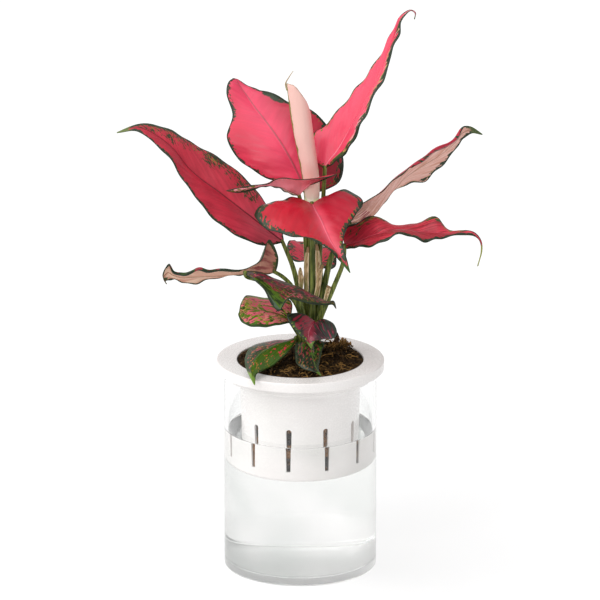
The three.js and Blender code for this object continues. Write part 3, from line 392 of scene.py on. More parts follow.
# node, record slot, upper face, underside, ripple of the margin in millimetres, its waves
LEAVES = [
    ("leaf_left_long", "red_blade",
     dict(left="#b02136", right="#b22a3c", base="#bd5060", rib="#3c1216", rib_width=1.0,
          margin_left=1.3, margin_right=1.7, lean=66, streak=0.2,
          marks=[(OLIVE, 0.16, 15, 2.4, 1.1, 1, (0.28, 1)),
                 ("#2f361c", 0.3, 22, 3.4, 1.3, 1, (0.22, 1)),
                 ("#27331a", 0.42, 9, 5, 2, 1, (0.4, 0.95)),
                 ("#26351a", 0.84, 5, 9, 3, 1, (0.64, 0.95)),
                 ("#33301a", 0.45, 4, 3, 1.3, -1, (0.0, 0.8))],
          tip="#5c6a34", tip_from=0.92, gloss=0.42),
     RED_UNDER, 0.5, 8),
    # the broad back leaf's right half is painted darker: painted shade, where the tall right leaf
    # shadows it
    ("leaf_back_broad", "pink_blade",
     dict(left="#cc2b47", right="#a82036", rib="#9c4a52", rib_width=1.3, glow="#de4464",
          glow_width=26, margin_left=1.5, margin_right=1.8, lean=40, streak=0.08,
          marks=[(OLIVE, 0.3, 8, 3, 1.2, 1, (0.0, 0.5)), (SLATE, 0.42, 5, 2.6, 1.2, -1, (0.1, 0.9)),
                 (SLATE, 0.5, 9, 4.4, 1.8, 1, (0.0, 0.5)), (SLATE, 0.4, 5, 3, 1.4, 1, (0.5, 1)),
                 ("#24331c", 0.95, 6.5, 9, 5, 1, (0.63, 0.77))],
          tip="#2c3a20", tip_from=0.975, gloss=0.32),
     RED_UNDER, 0.4, 7),
    ("leaf_right_tall", "pink_blade",
     dict(left="#e24662", right="#e0425e", base="#d6445e", rib="#f08a98", rib_width=1.1,
          margin_left=0.8, margin_right=2.6, lean=62, streak=0.07,
          marks=[("#e0909a", 0.3, 13, 12, 1.6, 1, (0.2, 0.9)),
                 ("#a5944e", 0.42, 10, 7, 2, 1, (0.08, 0.88)),
                 ("#31481c", 0.66, 8, 9, 2.6, 1, (0.06, 0.92)),
                 (OLIVE, 0.5, 5, 3.4, 1.4, -1, (0.0, 0.62)),
                 ("#35451d", 0.55, 3, 3, 1.4, -1, (0.0, 0.62)),
                 ("#3d4a20", 0.5, None, 4, 2, 0, (-0.1, 0.05))],
          tip="#4b5a2a", tip_from=0.95, gloss=0.32),
     RED_UNDER, 0.8, 9),
    ("leaf_low_back", "green_blade",
     dict(left="#d22c48", right="#c8263e", rib="#7c7a42", rib_width=1.0, lean=55,
          marks=[("#2c3a1c", 0.3, None, 5, 1.8), ("#2c3a1c", 0.6, 8, 5, 2)], streak=0.1, gloss=0.5),
     GREEN_UNDER, 0.3, 5),
    ("leaf_level_thin", "pink_blade",
     dict(left="#c0283f", right="#b8243c", rib="#ea8f8c", rib_width=1.0,
          margin_left=1.8, margin_right=1.6, streak=0.1),
     dict(left="#f79aa6", right="#f29096", rib="#6c4228", rib_width=0.8, margin="#1c2c18",
          margin_left=2.6, margin_right=2.8, marks=[(OLIVE, 0.34, 7, 4, 1.4)], streak=0.1,
          gloss=0.45),
     0.5, 6),
    ("leaf_front_arching", "red_blade",
     dict(left="#b4142e", right="#b8142a", rib="#e87284", rib_width=1.1, glow="#dc5266",
          glow_width=9, margin_left=2.0, margin_right=2.2, lean=58, streak=0.1,
          marks=[("#46523e", 0.95, 7, 14, 6, -1, (0.1, 0.3)),
                 (OLIVE, 0.24, 9, 3, 1.3, 0, (0.15, 0.95)),
                 (FERN, 0.6, 8, 6, 2.2, -1, (0.05, 0.95)),
                 ("#33341c", 0.3, 14, 4, 1.6, 1, (0.3, 0.8)),
                 (FERN, 0.64, 9, 5, 2, 1, (0.12, 0.95))],
          tip="#3d5a20", tip_from=0.92, gloss=0.32),
     RED_UNDER, 0.6, 8),
    ("leaf_right_upper", "pale_blade",
     dict(left="#b01f34", right="#b02038", rib="#d87a84", margin_left=1.4,
          margin_right=1.2, marks=[(FERN, 0.36, 7, 5, 1.8)], streak=0.1),
     dict(PALE_UNDER, tip="#47582a", tip_from=0.9,
          marks=PALE_UNDER["marks"] + [("#984a4e", 0.42, None, 16, 1.0, 1, (-0.1, 0.17)),
                                       ("#3c4826", 0.7, 6, 7, 2.4, 1, (0.78, 1))]),
     0.6, 8),
    ("leaf_right_level", "red_blade",
     dict(left="#c22f42", right="#b42a3a", base="#a41a2e", rib="#d85a6c", rib_width=0.8,
          margin_left=1.3, margin_right=2.2, streak=0.24, lean=70,
          marks=[("#8e1828", 0.4, None, 24, 1.0), ("#2f4520", 0.5, 7, 7, 2.2, -1, (0.1, 0.75)),
                 ("#2c3e1c", 0.2, 16, 4, 1.8, -1, (0.02, 0.36)),
                 (OLIVE, 0.3, 7, 4, 1.4, -1, (0.1, 0.75)), (FERN, 0.45, 5, 5, 1.6, 1)],
          tip="#86883a", tip_from=0.87),
     PALE_UNDER, 0.9, 9),
    ("leaf_left_low", "pale_blade",
     dict(left="#a02c3c", right="#84222e", rib="#c07068", margin_left=1.6,
          margin_right=1.8, marks=[(MOSS, 0.8, 9, 5, 2)], streak=0.1),
     # on this underside the long pale blotches are partly its pale stripes and partly painted
     # highlights
     dict(left="#cfa08a", right="#c48e78", base="#a65e50", rib="#7a5a38", rib_width=0.9,
          margin="#24341a", margin_left=2.6, margin_right=1.2, lean=80,
          marks=[("#dcb8a0", 0.3, None, 20, 4.6, 0, (0.3, 1)),
                 ("#8f4642", 0.3, None, 14, 4.2, 0, (0.0, 0.34)),
                 ("#33441e", 0.62, 7, 6, 3, 0, (0.0, 0.3)),
                 ("#4a5626", 0.6, None, 8, 4.5, -1, (-0.1, 0.1)),
                 ("#3c4a22", 0.5, 5, 7, 1.8, -1, (0.3, 1)),
                 ("#3a4a20", 0.6, 5, 4, 2, 0, (0.84, 1))],
          tip="#5a5230", tip_from=0.95, streak=0.06, gloss=0.5),
     0.7, 8),
    # the grey of the crossing leaf's left half is partly its own dark green and partly a painted
    # sheen
    ("leaf_crossing", "green_blade",
     dict(left="#434438", right="#34421f", base="#463438", rib="#5c4a42", rib_width=0.8,
          margin="#1c2a18", margin_left=1.2, margin_right=1.2, lean=70,
          marks=[("#84283a", 0.38, -3, 5, 1.5), ("#c05064", 0.17, -4, 3, 1.3),
                 ("#80702e", 0.08, None, 2, 1), ("#4a681a", 0.9, 13, 16, 8, 1, (0.08, 0.46)),
                 ("#22360e", 0.3, 13, 7, 2, 1, (0.08, 0.46)),
                 ("#4a604a", 0.8, 4, 9, 4, 1, (0.22, 0.42))],
          tip="#2f2418", tip_from=0.95, streak=0.16, gloss=0.32),
     GREEN_UNDER, 0.5, 5),
    ("leaf_speckled_left", "green_blade",
     dict(left="#56791a", right="#628628", rib="#567822", rib_width=0.9, margin="#2c4512",
          margin_left=1.6, margin_right=1.6, lean=78,
          marks=[("#e8667a", 0.52, -2, 7, 2.8), ("#f09486", 0.22, -3, 4, 1.9),
                 ("#98a038", 0.22, None, 2.8, 1.3), ("#2c4512", 0.14, None, 3.4, 1.4)],
          streak=0.16, gloss=0.36),
     GREEN_UNDER, 0.4, 5),
    ("leaf_glossy_front", "red_blade",
     dict(left="#3c2026", right="#2c2a22", rib="#c0707a", rib_width=0.8, glow="#b0324a",
          glow_width=7, margin="#263424", margin_left=1.4, margin_right=1.4, lean=50,
          marks=[("#a03c50", 0.34, -2, 12, 1.4, -1), ("#2c3a30", 0.4, None, 10, 1.6, -1),
                 ("#8c2234", 0.3, -3, 6, 2, 1), ("#2f4a1c", 0.5, 7, 5, 2.2, 1, (0.3, 1)),
                 ("#8e9a34", 0.3, 6, 3, 1.2, 1, (0.3, 1))],
          tip="#5f7c28", tip_from=0.84, streak=0.25, gloss=0.26, coat=0.3),
     GREEN_UNDER, 0.3, 5),
    ("leaf_hanging_front", "green_blade",
     dict(left="#203010", right="#1c2a1a", rib="#5a742c", rib_width=0.8, margin="#1c2c10",
          margin_left=1.2, margin_right=1.2, lean=62,
          marks=[("#8a3c3a", 0.2, -2.5, 4, 1.4), ("#7c5a2a", 0.07, None, 2.2, 1.1),
                 ("#3f5c1c", 0.16, None, 4, 1.8)],
          tip="#557224", tip_from=0.86, streak=0.16, gloss=0.22),
     GREEN_UNDER, 0.3, 5),
    # the low front leaf's right half is partly its own dark green and partly lightened to grey as a
    # painted sheen
    ("leaf_low_front", "green_blade",
     dict(left="#40620f", right="#3a4834", rib="#557430", rib_width=0.9, margin="#2c4410",
          margin_left=1.0, margin_right=1.2, lean=74,
          marks=[("#44641a", 0.3, None, 6, 2.4, -1), ("#d8304c", 0.14, -2, 4.4, 3, -1),
                 ("#c4783a", 0.08, None, 2.2, 1.2), ("#a04a56", 0.24, -2, 7, 1.9, 1)],
          tip="#6c8c34", tip_from=0.86, streak=0.16, gloss=0.24),
     GREEN_UNDER, 0.3, 5),
]

# Margins that turn over onto the underside: the half, the stretch, and the width in millimetres.
ROLLED_MARGINS = {
    "leaf_right_upper": [(1, 0.48, 0.86, 4.2)],
    "leaf_left_low": [(-1, 0.36, 0.88, 2.2)],
}

# Lobes that stand out beyond a margin, in the same terms.
LOBES = {
    "leaf_back_broad": [(1, 0.62, 0.79, 4.5)],
    "leaf_right_level": [(-1, 0.0, 0.26, 2.5)],
}

ROLL_UPPER = dict(left="#c8606a", right="#c8606a", margin="#7a7430", streak=0.1)
# the new leaf's foot is cream of its own; its base and pale yellow foot marks are painted lighter
# still, as painted light against the shade of the leaves round it
ROLL_UNDER = dict(left="#e2aca4", right="#e8bcb2", base="#fffae4", margin="#7c7a34",
                  marks=[("#eef0b4", 0.9, None, 12, 6, 0, (-0.1, 0.08)),
                         ("#a6b050", 0.9, None, 12, 6, 0, (-0.1, 0.01))],
                  margin_left=0.9, margin_right=1.2, tip="#7f6a34", tip_from=0.985, streak=0.03,
                  gloss=0.42, lean=89, pucker=1.5)

SHEATH_LENGTH = 30
DRY_SHEATH = dict(left="#b09468", right="#a08458", base="#6c7034", margin="#cdb894",
                  margin_left=0.5, margin_right=0.5, lean=89, tip="#8a6c48", tip_from=0.84,
                  marks=[("#6e7038", 0.34, None, 12, 0.9), ("#8c6848", 0.22, None, 7, 0.8),
                         ("#cbb48c", 0.2, None, 10, 0.7)], streak=0.2, gloss=0.6, pucker=3)

# ---- tools ---------------------------------------------------------------------------------

NEAR = 0.05                      # millimetres within which a corner counts as there
ROUND_SIDES = 160                # the sides of the vessel, the pot and the water


def srgb(code):
    """A colour from its hex code, as Blender's linear red, green, blue and alpha."""
    parts = [int(code[i:i + 2], 16) / 255 for i in (1, 3, 5)]
    return tuple(c / 12.92 if c <= 0.04045 else ((c + 0.055) / 1.055) ** 2.4 for c in parts) + (1,)


def grey(share):
    return (share, share, share, 1)


def smooth_line(points):
    """A centripetal Catmull-Rom curve through the points, for a share from 0 to 1."""
    first = points[0] * 2 - points[1]
    last = points[-1] * 2 - points[-2]
    knots = [first, *points, last]
    spans = len(points) - 1

    def point_at(share):
        place_along = min(max(share, 0), 1) * spans
        span = min(int(place_along), spans - 1)
        part = place_along - span
        before, start, end, after = knots[span:span + 4]
        gap_before = max((start - before).length, 1e-9) ** 0.5
        gap = max((end - start).length, 1e-9) ** 0.5
        gap_after = max((after - end).length, 1e-9) ** 0.5
        leave = ((start - before) / gap_before - (end - before) / (gap_before + gap)
                 + (end - start) / gap) * gap
        arrive = ((end - start) / gap - (after - start) / (gap + gap_after)
                  + (after - end) / gap_after) * gap
        return (start + leave * part
                + (3 * (end - start) - 2 * leave - arrive) * part ** 2
                + (2 * (start - end) + leave + arrive) * part ** 3)

    return point_at


def heading(line, share):
    """The way a line runs there."""
    return line(min(share + 0.01, 1)) - line(max(share - 0.01, 0))


def deselect():
    bpy.ops.object.select_all(action="DESELECT")


def only(piece):
    deselect()
    piece.select_set(True)
    bpy.context.view_layer.objects.active = piece


def named(name):
    """Names the piece that was made last."""
    piece = bpy.context.active_object
    piece.name = name
    piece.data.name = name
    return piece


def settle(piece, stands_for, record_slot, finishes):
    """Leaves a finished piece's place in its mesh, and gives it its finishes and its body."""
    only(piece)
    bpy.ops.object.transform_apply(location=True, rotation=True, scale=True)
    for finish in finishes:
        piece.data.materials.append(finish)
    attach(piece, "root")
    if stands_for:
        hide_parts(*stands_for)
    return piece


def apply_modifier(piece, kind, **values):
    only(piece)
    modifier = piece.modifiers.new(kind.title(), kind)
    for key, value in values.items():
        setattr(modifier, key, value)
    bpy.ops.object.modifier_apply(modifier=modifier.name)


def shaped_grid(name, columns, rows, surface):
    """A grid whose points are laid on surface(across -1 to 1, along 0 to 1)."""
    deselect()
    bpy.ops.mesh.primitive_grid_add(x_subdivisions=columns, y_subdivisions=rows, size=2)
    piece = named(name)
    for vertex in piece.data.vertices:
        vertex.co = surface(vertex.co.x, (vertex.co.y + 1) / 2)
    return piece


def start_edit(piece, kind):
    """Goes into edit mode with nothing selected, and gives the mesh to select in."""
    only(piece)
    bpy.ops.object.mode_set(mode="EDIT")
    bpy.ops.mesh.select_mode(type=kind)
    bpy.ops.mesh.select_all(action="DESELECT")
    return bmesh.from_edit_mesh(piece.data)


def edit_faces(piece, test):
    """Goes into edit mode with only the faces selected whose centre and normal pass the test."""
    shape = start_edit(piece, "FACE")
    for face in shape.faces:
        face.select = test(face.calc_center_median(), face.normal)
    bmesh.update_edit_mesh(piece.data)


def edit_edges(piece, test):
    """Goes into edit mode with only the edges selected whose two ends pass the test."""
    shape = start_edit(piece, "EDGE")
    for edge in shape.edges:
        edge.select = test(*(vertex.co for vertex in edge.verts))
    bmesh.update_edit_mesh(piece.data)


def object_mode():
    bpy.ops.object.mode_set(mode="OBJECT")


def close_up(piece):
    """Merges the seam and poles of a rolled-up grid, fills its ends and turns it outwards."""
    only(piece)
    bpy.ops.object.mode_set(mode="EDIT")
    bpy.ops.mesh.select_all(action="SELECT")
    bpy.ops.mesh.remove_doubles(threshold=0.01 * MM)
    bpy.ops.mesh.fill_holes(sides=0)
    bpy.ops.mesh.select_all(action="SELECT")
    bpy.ops.mesh.normals_make_consistent(inside=False)
    object_mode()


def join(name, parts):
    deselect()
    for part in parts:
        part.select_set(True)
    bpy.context.view_layer.objects.active = parts[0]
    bpy.ops.object.join()
    return named(name)


def round_blank(name, radius, bottom, top):
    """A plain cylinder round the axis, from which a round piece is shaped."""
    deselect()
    bpy.ops.mesh.primitive_cylinder_add(vertices=ROUND_SIDES, radius=radius * MM,
                                        depth=(top - bottom) * MM,
                                        location=(0, 0, (top + bottom) / 2 * MM))
    blank = named(name)
    bpy.ops.object.transform_apply(location=True, rotation=True, scale=True)
    return blank


def smooth_rounds(piece, degrees):
    """Smooths the rounded edges, and leaves the long walls and flats beside them true."""
    only(piece)
    bpy.ops.object.shade_smooth_by_angle(angle=math.radians(degrees))
    apply_modifier(piece, "WEIGHTED_NORMAL", mode="FACE_AREA", weight=100, keep_sharp=True)


def round_ring(piece, radius, height, size, segments=4):
    """Rounds the ring of edges at that radius and height, in millimetres."""
    def on_ring(corner):
        return (abs(math.hypot(corner.x, corner.y) - radius * MM) < NEAR * MM
                and abs(corner.z - height * MM) < NEAR * MM)

    edit_edges(piece, lambda start, end: on_ring(start) and on_ring(end))
    bpy.ops.mesh.bevel(offset=size * MM, segments=segments)
    object_mode()


def step_in(piece, height, facing, width):
    """Insets the flat round cap at that height, which faces up (1) or down (-1)."""
    edit_faces(piece, lambda centre, normal: abs(centre.z - height * MM) < NEAR * MM
               and math.hypot(centre.x, centre.y) < 1 * MM and normal.z * facing > 0.9)
    bpy.ops.mesh.inset(thickness=width * MM)


def push_cap(rise, scale=1.0):
    """Extrudes the selected cap along Z and leaves it scaled about the axis."""
    bpy.ops.mesh.extrude_region_move(TRANSFORM_OT_translate={"value": (0, 0, rise * MM)})
    if scale != 1.0:
        bpy.ops.transform.resize(value=(scale, scale, 1), center_override=(0, 0, 0))


# ---- finishes ------------------------------------------------------------------------------

REACH = 100                      # millimetres that a unit of a blade's "reach" map stands for
NOISE_SPREAD = 0.085             # how far a noise strays from its mean of a half
MARK_MEAN = 0.75                 # the mean of the noises that make a mark, and how far it strays
MARK_SPREAD = 1.25 * NOISE_SPREAD
NO_PLACE = 0.4                   # what a mark's noises lose where it has no place
BROAD_MARK = 4                   # the width in millimetres from which a mark's edge is soft
FINE_EDGE, SOFT_EDGE = 0.012, 0.1


class Finish:
    """A material, and short ways to add and join its nodes."""

    def __init__(self, name):
        self.material = bpy.data.materials.new(name)
        self.material.use_nodes = True
        self.tree = self.material.node_tree
        self.shader = self.tree.nodes["Principled BSDF"]

    def node(self, kind, inputs=(), output=0, **settings):
        made = self.tree.nodes.new(kind)
        for key, value in settings.items():
            setattr(made, key, value)
        for key, value in dict(inputs).items():
            self.join(made.inputs[key], value)
        return made.outputs[output]

    def join(self, socket, value):
        if isinstance(value, bpy.types.NodeSocket):
            self.tree.links.new(value, socket)
        else:
            socket.default_value = value

    def maths(self, operation, first, second):
        return self.node("ShaderNodeMath", {0: first, 1: second}, operation=operation)

    def plus(self, first, second):
        return self.maths("ADD", first, second)

    def minus(self, first, second):
        return self.maths("SUBTRACT", first, second)

    def times(self, first, second):
        return self.maths("MULTIPLY", first, second)

    def blend(self, share, first, second):
        return self.node("ShaderNodeMix", {0: share, 6: first, 7: second}, output=2,
                         data_type="RGBA")

    def ramp(self, value, low, high, start=0.0, end=1.0):
        """start below low, end above high, and smooth between."""
        return self.node("ShaderNodeMapRange", {0: value, 1: low, 2: high, 3: start, 4: end},
                         interpolation_type="SMOOTHSTEP")

    def vector(self, x, y, z=0.0):
        return self.node("ShaderNodeCombineXYZ", {0: x, 1: y, 2: z})

    def noise(self, vector, scale, detail=2.0, roughness=0.5):
        return self.node("ShaderNodeTexNoise", {"Vector": vector, "Scale": scale,
                                                "Detail": detail, "Roughness": roughness})

    def place(self):
        return self.node("ShaderNodeTexCoord", output="Object")

    def split(self, vector):
        made = self.tree.nodes.new("ShaderNodeSeparateXYZ")
        self.tree.links.new(vector, made.inputs[0])
        return made.outputs

    def relief(self, height, depth):
        """Bumps the surface by a height from 0 to 1, times a depth in millimetres."""
        bump = self.node("ShaderNodeBump", {"Height": height, "Distance": depth * MM})
        self.join(self.shader.inputs["Normal"], bump)

    def set(self, **values):
        for key, value in values.items():
            self.join(self.shader.inputs[key.replace("_", " ")], value)
        return self.material


def blade_finish(name, length, left, right, *, base=None, rib=None, rib_width=1.2, glow=None,
                 glow_width=8, marks=(), margin=DARK, margin_left=1.2, margin_right=1.2,
                 tip=None, tip_from=0.94, lean=50, streak=0.15, gloss=0.38, coat=0.0,
                 pucker=5.0):
    """A leaf face. The piece's own map runs across it from the left edge to the right and
    along it from base to tip; its "reach" map holds the distances from rib and margin. The
    lateral veins lean towards the tip by so many degrees."""
    finish = Finish(name)
    plus, minus, times, ramp = finish.plus, finish.minus, finish.times, finish.ramp
    share = finish.split(finish.node("ShaderNodeUVMap", uv_map="UVMap"))
    reach = finish.split(finish.node("ShaderNodeUVMap", uv_map="reach"))
    across, along = share[:2]
    from_rib, from_edge = times(reach[0], REACH), times(reach[1], REACH)
    side_shift = times(finish.maths("GREATER_THAN", across, 0.5), 7.0)
    up_blade = times(along, length)
    cosine, sine = math.cos(math.radians(lean)), math.sin(math.radians(lean))
    down_vein = plus(times(from_rib, cosine), times(up_blade, sine))
    over_vein = minus(times(up_blade, cosine), times(from_rib, sine))

    def veined(blotch_length, blotch_width, detail=2.0, seed=0.0):
        """A noise whose blotches lie along the veins, of a size in millimetres."""
        spot = finish.vector(finish.maths("DIVIDE", down_vein, blotch_length),
                             finish.maths("DIVIDE", over_vein, blotch_width),
                             plus(side_shift, seed))
        return finish.noise(spot, 1.0, detail)

    def marked(colour, order, paint, cover, stay, blotch_length, blotch_width, half=0,
               stretch=None):
        """The colour with one kind of mark painted over it."""
        value = plus(veined(blotch_length, blotch_width, 3.0, 11.0 * order + 5),
                     times(veined(5 * blotch_length, 8 * blotch_width, 1.0, 2.0), 0.5))
        edge = MARK_MEAN + NormalDist(0, MARK_SPREAD).inv_cdf(1 - cover)
        if stay:
            near, far = (0.0, 0.35) if stay > 0 else (0.35, 0.0)
            value = minus(value, ramp(from_edge, 0.45 * abs(stay), abs(stay), near, far))
        if half:
            bare = (NO_PLACE, 0.0) if half > 0 else (0.0, NO_PLACE)
            value = minus(value, ramp(across, 0.45, 0.55, *bare))
        if stretch:
            start, end = stretch
            value = minus(value, ramp(along, start - 0.04, start + 0.04, NO_PLACE, 0.0))
            value = minus(value, ramp(along, end - 0.04, end + 0.04, 0.0, NO_PLACE))
        soft = FINE_EDGE if blotch_width < BROAD_MARK else SOFT_EDGE
        return finish.blend(ramp(value, edge - soft, edge + soft), colour, srgb(paint))

    # the ground: two halves, the base, the glow along the rib, and streaks
    colour = finish.blend(ramp(across, 0.38, 0.62), srgb(left), srgb(right))
    if base:
        colour = finish.blend(ramp(along, 0.0, 0.35, 0.85, 0.0), colour, srgb(base))
    if glow:
        colour = finish.blend(ramp(from_rib, 0.0, glow_width, 0.8, 0.0), colour, srgb(glow))
    streaks = veined(34.0, 2.2)
    clouds = veined(24.0, 14.0, 1.0, 3.0)
    dark = finish.node("ShaderNodeHueSaturation", {"Value": 1.0 - streak, "Color": colour})
    light = finish.node("ShaderNodeHueSaturation", {"Value": 1.0 + 0.6 * streak, "Color": colour})
    uneven = plus(times(streaks, 0.5), times(clouds, 0.5))
    colour = finish.blend(ramp(uneven, 0.36, 0.64), dark, light)

    # what is painted on it: the marks, the rib, the ragged margin and the tip
    for order, mark in enumerate(marks):
        colour = marked(colour, order, *mark)
    if rib:
        taper = times(from_rib, ramp(along, 0.0, 1.0, 1.0, 2.2))
        on_rib = ramp(taper, 0.35 * rib_width, rib_width, 0.85, 0.0)
        colour = finish.blend(on_rib, colour, srgb(rib))
    wander = minus(veined(9.0, 5.0, 3.0, 1.0), 0.5)
    on_right = ramp(across, 0.46, 0.54)
    width = finish.maths("MINIMUM", ramp(on_right, 0.0, 1.0, margin_left, margin_right),
                         times(plus(from_rib, from_edge), 0.45))
    ragged = times(width, plus(times(wander, 4.0), 1.0))
    colour = finish.blend(ramp(minus(ragged, from_edge), -0.25, 0.15), colour, srgb(margin))
    if tip:
        end = ramp(plus(along, times(wander, 0.06)), tip_from, tip_from + 0.03)
        colour = finish.blend(end, colour, srgb(tip))

    # the relief: the rib's ridge, the furrows between the veins, and puckers
    ridge = ramp(from_rib, 0.0, 1.3 * rib_width, 1.0, 0.0)
    furrows = times(veined(60.0, 3.0, 1.0), 0.45)
    puckers = times(veined(18.0, 9.0, 1.0, 20.0), pucker)
    finish.relief(plus(ridge, plus(furrows, puckers)), 0.28)
    rough = ramp(streaks, 0.35, 0.65, gloss, gloss + 0.12)
    return finish.set(Base_Color=colour, Roughness=rough, Coat_Weight=coat, Coat_Roughness=0.22,
                      Specular_IOR_Level=0.36)


def stem_finish(name, dark, light, gloss=0.4, width=1.6):
    """Long streaks of that width up a stem, petiole or sheath, in two colours."""
    finish = Finish(name)
    xyz = finish.split(finish.place())
    across, back = (finish.times(xyz[axis], 1 / (width * MM)) for axis in (0, 1))
    up = finish.times(xyz[2], 0.06 / (width * MM))
    streak = finish.noise(finish.vector(across, back, up), 1.0, 3.0)
    mottle = finish.noise(finish.place(), 160.0, 3.0)
    mixed = finish.plus(finish.times(streak, 0.7), finish.times(mottle, 0.3))
    colour = finish.blend(finish.ramp(mixed, 0.4, 0.6), srgb(dark), srgb(light))
    finish.relief(streak, 0.35)
    return finish.set(Base_Color=colour, Roughness=gloss, Specular_IOR_Level=0.25)


def soil_finish():
    """Dark crumbs and fibres on top; lighter and browner below, where the slots show it."""
    finish = Finish("potting soil")
    grain = finish.noise(finish.place(), 420.0, 6.0, 0.65)
    clump = finish.noise(finish.place(), 110.0, 3.0)
    fibre = finish.node("ShaderNodeTexWave", {"Vector": finish.place(), "Scale": 90.0,
                                              "Distortion": 38.0, "Detail": 3.0,
                                              "Detail Scale": 1.6})
    colour = finish.blend(finish.ramp(grain, 0.38, 0.66), srgb("#1c1209"), srgb("#5a4426"))
    colour = finish.blend(finish.ramp(fibre, 0.86, 0.97, 0.0, 0.5), colour, srgb("#6a4d30"))
    colour = finish.blend(finish.ramp(clump, 0.35, 0.5, 0.6, 0.0), colour, srgb("#0d0704"))
    height = finish.split(finish.place())[2]
    side = finish.blend(finish.ramp(clump, 0.42, 0.56), srgb("#1a0e06"), srgb("#a06c34"))
    over_slots = (RIM_Z - SLOT_TOP + 3) * MM
    below = finish.ramp(height, over_slots, over_slots + 2 * MM, 0.85, 0.0)
    colour = finish.blend(below, colour, side)
    finish.relief(finish.plus(grain, fibre), 1.4)
    return finish.set(Base_Color=colour, Roughness=0.92, Specular_IOR_Level=0.1)


def fibre_finish():
    finish = Finish("soil fibres")
    hue = finish.noise(finish.place(), 70.0, 2.0)
    colour = finish.blend(finish.ramp(hue, 0.36, 0.6), srgb("#2e1e10"), srgb("#96723f"))
    finish.relief(finish.noise(finish.place(), 900.0), 0.2)
    return finish.set(Base_Color=colour, Roughness=0.85, Specular_IOR_Level=0.15)


def pot_finish():
    finish = Finish("white moulded pot")
    cloud = finish.noise(finish.place(), 18.0, 2.0)
    fine = finish.noise(finish.place(), 900.0, 2.0)
    colour = finish.blend(finish.ramp(cloud, 0.35, 0.65), srgb("#e5e1df"), srgb("#ece9e7"))
    finish.relief(fine, 0.015)
    return finish.set(Base_Color=colour, Roughness=finish.ramp(fine, 0.3, 0.7, 0.22, 0.3), IOR=1.5)


def clear_finish(name, tint, light, ior, foot=0.0):
    """A clear body whose faint tint is a little lighter in some places than in others. Its
    foot may be ground, which leaves it that rough."""
    finish = Finish(name)
    height = finish.split(finish.place())[2]
    rough = finish.ramp(height, 0.3 * MM, 0.9 * VESSEL_EDGE * MM, foot, 0.0) if foot else 0.0
    swirl = finish.noise(finish.place(), 22.0, 1.0)
    colour = finish.blend(finish.ramp(swirl, 0.3, 0.7), srgb(tint), srgb(light))
    return finish.set(Base_Color=colour, Roughness=rough, IOR=ior, Transmission_Weight=1.0)


# ---- blades --------------------------------------------------------------------------------

BLADE_PUFF = 0.1                 # how high a half arches over its width
BLADE_COLUMNS = 28
BLADE_ROWS = 84
BLADE_THICKNESS = 0.6
ROLLED_SHARE = 0.28              # the share of a half's columns that a roll takes at its widest
ROLL_HEIGHT = 1.3                # how far below the face a rolled margin lies
FULL_RIPPLE_HALF = 12            # a half narrower than this ripples less


def blade_surface(stations, ripple, waves, rolls, lobes):
    """A blade's face, made from its stations as the solids' is, but with a fine ripple of its
    margin. A roll (side, start, end, width) turns that much of the margin over onto the
    underside, and a lobe lets it stand out. Gives the functions for a point of the face and
    for its distances."""
    left, rib, right = (smooth_line([place(station[line]) for station in stations])
                        for line in range(3))

    def swelling(stretches, across, along):
        """The width of the roll or lobe there, and its share of the widest."""
        for side, start, end, width in stretches:
            if across * side > 0 and start < along < end:
                swell = math.sin(math.pi * (along - start) / (end - start)) ** 0.7
                return width * MM * swell, swell
        return 0.0, 0.0

    def folded(across, along):
        """The width turned over there, how far out on its half a point is, and how far on
        in the part that is turned over."""
        width, swell = swelling(rolls, across, along)
        fold = 1 - ROLLED_SHARE * swell
        out = min(abs(across) / fold, 1)
        over = (abs(across) - fold) / (1 - fold) if abs(across) > fold else 0
        return width, out, over

    def point(across, along):
        middle = rib(along)
        half = (left if across < 0 else right)(along) - middle
        half += half.normalized() * swelling(lobes, across, along)[0] * abs(across) ** 3
        up = (right(along) - left(along)).cross(heading(rib, along))
        if up.length > 0:
            up.normalize()
        width, out, over = folded(across, along)
        arch = BLADE_PUFF * half.length * 4 * out * (1 - out)
        curl = ripple * MM * out ** 3 * math.sin(2 * math.pi * waves * along + 2 * across)
        curl *= min(1, half.length / (FULL_RIPPLE_HALF * MM))
        under = ROLL_HEIGHT * MM * math.sin(math.pi / 2 * min(1, 3 * over)) if over else 0
        return (middle + half * out + up * (arch + curl - under)
                - half.normalized() * over * width)

    def reach(across, along):
        """The distances from the rib and from the margin."""
        half = ((left if across < 0 else right)(along) - rib(along)).length
        width, out, over = folded(across, along)
        return half * out + width * over, half * (1 - out) + width * (1 - over)

    return point, reach


def map_reach(blade, reach):
    """Adds the "reach" map, which holds each point's distance from the rib and the margin."""
    shares = blade.data.uv_layers["UVMap"]
    distances = blade.data.uv_layers.new(name="reach")
    for corner in range(len(blade.data.loops)):
        across, along = shares.data[corner].uv
        distances.data[corner].uv = [part / MM / REACH for part in reach(2 * across - 1, along)]


def rib_length(stations):
    """The length of a blade along its midrib, in millimetres."""
    rib = [place(station[1]) for station in stations]
    return sum((b - a).length for a, b in zip(rib, rib[1:])) / MM


def thicken(face, thickness):
    """Gives a face its thickness; the underside and the rim take its second finish."""
    apply_modifier(face, "SOLIDIFY", thickness=thickness * MM, offset=0, material_offset=1,
                   material_offset_rim=1)


def make_blade(name, stations, upper, under, record_slot, ripple, waves,
               columns=BLADE_COLUMNS, rows=BLADE_ROWS, thickness=BLADE_THICKNESS):
    face, reach = blade_surface(stations, ripple, waves, ROLLED_MARGINS.get(name, ()),
                                LOBES.get(name, ()))
    blade = shaped_grid(name, columns, rows, face)
    map_reach(blade, reach)
    settle(blade, [name], record_slot, [upper, under])
    thicken(blade, thickness)
    bpy.ops.object.shade_smooth()


# ---- stems ---------------------------------------------------------------------------------

GROOVE_ANGLE = 0.5               # how far round a groove spreads, in radians


